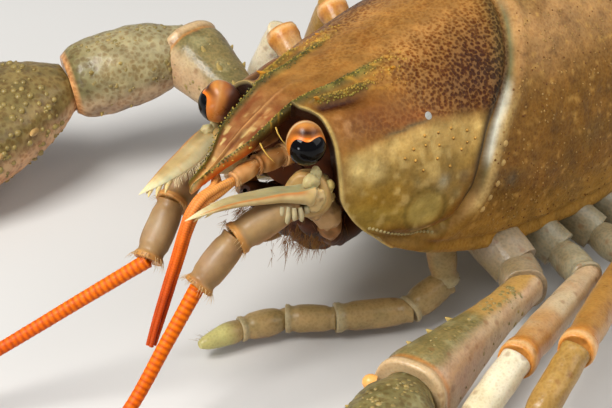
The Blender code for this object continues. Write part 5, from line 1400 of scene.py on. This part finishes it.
def ring_outline(width, height, pleuron, belly):
    """Across and up of a tail ring's outline, from the top of the back round both side flaps."""
    turn = np.linspace(0, math.pi / 2, 26)
    arch = np.stack([width * np.sin(turn), height * np.cos(turn) ** 0.95], axis=1)
    corners = np.array([(0.985 * width, -2.4), (0.93 * width, -3.0 - pleuron),
                        (0.86 * width, -2.9 - 0.95 * pleuron), (0.79 * width, -2.2), (0.42 * width, -belly),
                        (0, -belly)])
    flap = np.stack([np.interp(np.linspace(0, 5, 31), range(6), corners[:, k]) for k in (0, 1)], axis=1)
    half = np.concatenate([arch, flap])
    return np.concatenate([half, half[-2:0:-1] * (-1, 1)])


def ring_tint(k, share, points):
    """Tail ring: brown with dark clouds, an olive line on the back, and pale flaps and belly."""
    soft, fine = noise(points, 3.5, 80 + k), noise(points, 1.0, 90 + k)
    down = np.linspace(0, 1, points.shape[1] // 2 + 1)
    down = np.concatenate([down, down[-2:0:-1]])
    return coats(
        shades("#8A6236", "#A8854E", soft),
        ("#5E4420", step(soft + 0.5 * fine, 0.2, 0.8) * 0.7),
        ("#6C6636", bell(down, 0.0, 0.2) * 0.5),
        ("#C9A96A", step(down, 0.42, 0.55) * 0.6),
        ("#D8C496", step(down, 0.78, 0.86)),
        ("#B98A4C", step(share, 0.90, 0.95)[:, None] * step(down, 0.75, 0.6)))


def swimmerets(ring, k, middle, leave):
    """The two small limbs under one tail ring, with their hairs."""
    down = np.array([0, leave[2], -leave[1]])
    length = 5.0 if k else 3.4
    for side in (-1, 1):
        root = middle + (side * RING_WIDTH[k] * 0.45, 0, 0) + down * (BELLY_DEPTH[k] - 1.3)
        knee = root + down * 2.6 + (side * 0.8, 0.2, 0)
        toe = knee + down * (length * 0.5) + leave * (length * 0.75)
        limb(ring, [root, knee, toe], [((0, 0.8), (1, 0.7)), ((0, 0.7), (0.4, 1.0), (0.8, 0.8), (1, 0.4))],
             lambda *place: rgb("#CFB88A") + 0 * place[-1], rough=0.03, rows=20, around=18, flat=0.75)
        fuzz(np.linspace(knee, toe, 30), (side * 0.5, 0.2, -0.2), (0, 0.8, -0.2), 40, 1.2, "#B79A66",
             radius=0.03, spread=0.3, seed=50 + k)


print("rings:", len(RING_WIDTH))

# %% Build the tail rings
heading = unit(np.diff(TAIL_AXIS, axis=0))
for k in range(6):
    start, end = TAIL_AXIS[k:k + 2]
    enter, leave = unit(heading[max(k - 1, 0)] + heading[k]), unit(heading[k] + heading[min(k + 1, 5)])
    share = np.concatenate([np.linspace(-0.10, 0.10, 8)[:-1], np.linspace(0.10, 0.99, 40)])
    scale = np.interp(share, RING_PLACES, (0.85, 0.88, 0.94, 0.99, 1.015, 1.0))
    scale = scale + 0.012 * step(share, 0.90, 0.94) - 0.02 * bell(share, 0.16, 0.03)
    scale = scale - LAST_TAPER * np.clip(share, 0, 1) ** 3 * (k == 5)
    flap = np.interp(share, RING_PLACES, (0.02, 0.05, 0.4, 1.0, 0.85, 0.3))
    rows = []
    for s, size, hang in zip(share, scale, flap):
        along = unit(enter * (1 - s) + leave * s)
        outline = ring_outline(RING_WIDTH[k] * size, RING_HEIGHT[k] * size, PLEURON[k] * hang,
                               BELLY_DEPTH[k] * size)
        rows.append(start + s * (end - start) + outline @ ((1, 0, 0), (0, -along[2], along[1])))
    smooth = np.array(rows)
    outs = unit(smooth - smooth.mean(axis=1, keepdims=True))
    rows = smooth + (0.10 * noise(smooth, 1.8, 95))[..., None] * outs
    ring = Form()
    ring.tube(rows, ring_tint(k, share, smooth))
    edge = rows[-2, np.r_[0:44, -43:0]]
    fuzz(edge, unit(edge - edge.mean(axis=0)) * 0.3, heading[min(k + 1, 5)] * 1.2, 90, 0.9, "#9A7440",
         spread=0.2, seed=40 + k)
    if k < 5:
        swimmerets(ring, k, start + 0.5 * (end - start), leave)
    ring.piece(f"tail_ring_{k + 1}", TAIL, "shell", f"abdomen_{k + 1}")
print("tail rings:", sum(n for _, n in TALLY[-6:]), "triangles")

# %% [markdown]
# The fan is five stiff plates with ribs, a crosswise seam and a fringe of hair. They lie spread on the
# floor. A plate here is two grids with a closed rim, so that it has a true thickness.

# %% Tail fan
PLATE_WALL = 0.8


def fan_plate(name, cad, root, turn_out, length, width, rise, ribs, square=0.62, spines=()):
    """A rounded plate of the fan with ribs, a crosswise seam and a fringe."""
    t = np.concatenate([np.linspace(0, 0.9, 50)[:-1], np.linspace(0.9, 1.0, 14)])[:, None]
    u = np.linspace(-1, 1, 41)[None, :]
    outline = width * (0.42 + 0.58 * np.sin(np.clip(t / square, 0, 1) * math.pi / 2))
    rounding = np.sqrt(np.clip(1 - ((t - square) / (1.02 - square)) ** 2, 0.02, 1))
    outline = outline * np.where(t > square, rounding, 1)
    bow = 0.0875 * width * (1 - u**2)
    ribs_up = sum(0.45 * bell(u, r, 0.10) for r in ribs) * np.sin(np.clip(t, 0, 1) * math.pi) ** 0.5
    seam = -0.3 * bell(t, 0.66, 0.02) + 0.05 * np.sin(u * 60) * step(t, 0.66, 0.75)
    far_out = np.array([math.sin(turn_out), math.cos(turn_out), 0])
    across = np.array([math.cos(turn_out), -math.sin(turn_out), 0])
    drop = rise[0] + (rise[1] - rise[0]) * np.sin(np.clip(t * 1.15, 0, 1) * math.pi / 2)
    base = np.array(root) + length * t[..., None] * far_out + (outline * u)[..., None] * across
    upper = base + (drop + bow + ribs_up + seam)[..., None] * (0, 0, 1.0)
    lower = base + (drop + bow * 0.6 - PLATE_WALL)[..., None] * (0, 0, 1.0)
    upper[..., 2], lower[..., 2] = np.maximum(upper[..., 2], 0.3), np.maximum(lower[..., 2], 0.0)
    soft = noise(upper, 2.6, 100)
    tint = coats(
        shades("#7E5C32", "#A07C44", soft),
        ("#B98848", step(t, 0.7, 1.0) * 0.6),
        ("#5C4424", step(soft, 0.2, 0.7) * 0.6),
        ("#C49A58", sum(bell(u, r, 0.07) for r in ribs) * 0.5))
    plate = Form()
    plate.plate(upper, lower, tint, "#C9AE78")
    for at, to in spines:
        spine = np.subtract(to, at)
        plate.studs(at, spine, 0.5, np.linalg.norm(spine), "#C49A58", SPINE, sides=9)
    plate.piece(name, TAIL, "shell", cad)
    flat = base + drop[..., None] * (0, 0, 1.0)
    border = np.concatenate([flat[40:, 0], flat[-1] + np.outer(bow, (0, 0, 1.0)), flat[40:, -1]])
    fuzz(border, (0, 0, 0), far_out, 420, 1.7, "#A98C5A", radius=0.04, spread=0.28, seed=60)


print("a plate is", PLATE_WALL, "mm thick")

# %% Build the tail fan
tail_end = TAIL_AXIS[-1][1]
fan_plate("tail_middle", "telson", (0, tail_end + 0.9, 0), 0.0, 17.0, 5.9, (7.0, 4.9), (-0.45, 0.45), 0.72,
          [((s * 5.0, tail_end + 11.6, 4.8), (s * 6.4, tail_end + 13.8, 4.6)) for s in (-1, 1)])
for side, letter in SIDES:
    for kind, x, turn_out, length, width, rise in (("inner", 4.8, 0.36, 17.0, 5.2, (4.9, 2.9)),
                                                   ("outer", 6.6, 0.80, 17.5, 5.8, (2.6, 0.8))):
        fan_plate(f"tail_{kind}_{letter}", f"uropod_{kind}_{letter}", (side * x, tail_end + 0.3, 0),
                  side * turn_out, length, width, rise, (0.0,))
print("tail fan:", sum(n for _, n in TALLY[-5:]), "triangles")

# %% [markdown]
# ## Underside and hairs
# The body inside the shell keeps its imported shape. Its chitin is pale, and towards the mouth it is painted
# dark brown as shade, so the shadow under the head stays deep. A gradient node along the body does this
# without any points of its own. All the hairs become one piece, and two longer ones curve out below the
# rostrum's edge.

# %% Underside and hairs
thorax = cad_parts["thorax"]
# Underside: soft chitin, dull and bumpy, and painted dark brown towards the head as shade.
inside, tree, shader, where = new_material("Underside chitin with painted head shade")
along = node(tree, "SeparateXYZ", (where,), "Y")
head_end = ORIGIN[1] - thorax.matrix_world.translation.y
cloud = node(tree, "TexNoise", {"Vector": where, "Scale": per_metre(1.6), "Detail": 5.0})
# Painted shade: the underside turns dark brown towards the head, under the shell's front.
depth = node(tree, "MapRange", (along, head_end + 6 * MM, head_end + 13 * MM, 0.0, 1.0))
brown, pale = (*rgb("#54280A"), 1.0), (*rgb("#C2AC7C"), 1.0)
tone = node(tree, "Mix", {0: depth, 6: brown, 7: pale}, 2, data_type="RGBA")
fill(shader, {"Base Color": clouded(tree, tone, cloud, 0.6, 1.15),
              "Roughness": node(tree, "MapRange", (cloud, 0.3, 0.7, 0.65, 0.9)), "Specular IOR Level": 0.15,
              "Normal": node(tree, "Bump", {"Height": cloud, "Strength": 0.6, "Distance": 0.2 * MM})})
thorax.data.materials.clear()
thorax.data.materials.append(inside)
LONG_HAIRS, LONG_OUTS = ((2.45, -1.5, 29.1), (2.3, -3.5, 28.1)), ((0.4, -0.1, -1.0), (0.4, 0.1, -1.0))
for side in (-1, 1):
    flip = np.array([side, 1, 1])
    hairs.studs(LONG_HAIRS * flip, LONG_OUTS * flip, 0.09, (1.9, 2.1), "#E0B050", HAIR, sides=6,
                lean=(0.5, 0.5, 0.0) * flip)
hairs.piece("setae", SETAE, "shell")
print("hairs:", TALLY[-1])

# %% [markdown]
# ## Floor, light and camera
# A pale floor, one large soft light above the camera's left, a weaker one from the right, and a camera at
# the place that the photograph was taken from. A picture of a sky could light the scene, but plain lights
# keep every cause of a highlight in view. The long lens keeps the near claw arm from looming.

# %% Stage
TURN, TILT = math.radians(46), math.radians(31)
EYE = np.array([6.0, -1.0, 28.0])
RANGE, FOCUS, WIDTH, HEIGHT, EYE_ROW, FILM = 230.0, 2415.0, 612, 408, 148, 36.0
toward = np.array([math.cos(TURN) * math.cos(TILT), -math.sin(TURN) * math.cos(TILT), math.sin(TILT)])
right = np.array([math.sin(TURN), math.cos(TURN), 0.0])
above = np.cross(toward, right)


def stand(name, data, at, axes):
    """Adds an object at a place in the animal's frame, with its own X, Y and Z along the given axes."""
    made = bpy.data.objects.new(name, data)
    bpy.context.scene.collection.objects.link(made)
    place = np.eye(4)
    place[:3, :3], place[:3, 3] = np.transpose(axes), np.asarray(at) * MM + ORIGIN
    made.matrix_world = Matrix(place.tolist())
    return made


def light(name, at, size, power, colour=(1.0, 0.98, 0.95)):
    """A square soft light that faces the head of the animal."""
    lamp = bpy.data.lights.new(name, "AREA")
    lamp.shape, lamp.size, lamp.energy, lamp.color = "SQUARE", size * MM, power, colour
    z = unit(np.subtract(at, EYE))
    x = -level(z)
    stand(name, lamp, at, (x, np.cross(z, x), z))


floor_mesh = bpy.data.meshes.new("floor")
floor_mesh.from_pydata([(-3, -3, 0), (3, -3, 0), (3, 3, 0), (-3, 3, 0)], [], [(0, 1, 2, 3)])
floor = bpy.data.objects.new("floor", floor_mesh)
bpy.context.scene.collection.objects.link(floor)
# Floor: matt pale paper, which throws a soft light up under the body.
ground, _, shader, _ = new_material("Pale studio floor")
fill(shader, {"Base Color": (0.60, 0.59, 0.57, 1.0), "Roughness": 0.85})
floor.data.materials.append(ground)

world = bpy.data.worlds.new("studio")
world.use_nodes = True
fill(world.node_tree.nodes["Background"], {"Color": (0.95, 0.97, 1.0, 1.0), "Strength": 0.36})
bpy.context.scene.world = world

light("key", EYE + 150 * above + 220 * toward - 150 * right, 150, 1.35)
light("front", EYE + (10.0, -260.0, 20.0), 45, 0.12, (0.96, 0.98, 1.0))
light("side", EYE + 220 * right + 100 * toward + 130 * above, 240, 0.4)
lens = bpy.data.cameras.new("view")
lens.sensor_width, lens.lens, lens.clip_start = FILM, FOCUS / WIDTH * FILM, 0.01
camera_at = EYE + RANGE * toward - RANGE * (HEIGHT / 2 - EYE_ROW) / FOCUS * above
bpy.context.scene.camera = stand("view", lens, camera_at, (right, above, toward))
bpy.context.scene.view_settings.view_transform = "Standard"
print("camera:", camera_at.round(1), "lens:", round(lens.lens, 1), "mm")

# %% [markdown]
# ## Count of triangles
# The count of triangles of all the pieces is printed, with the largest piece.

# %% Finish
print("triangles:", sum(n for _, n in TALLY), "largest:", max(TALLY, key=lambda row: row[1]))
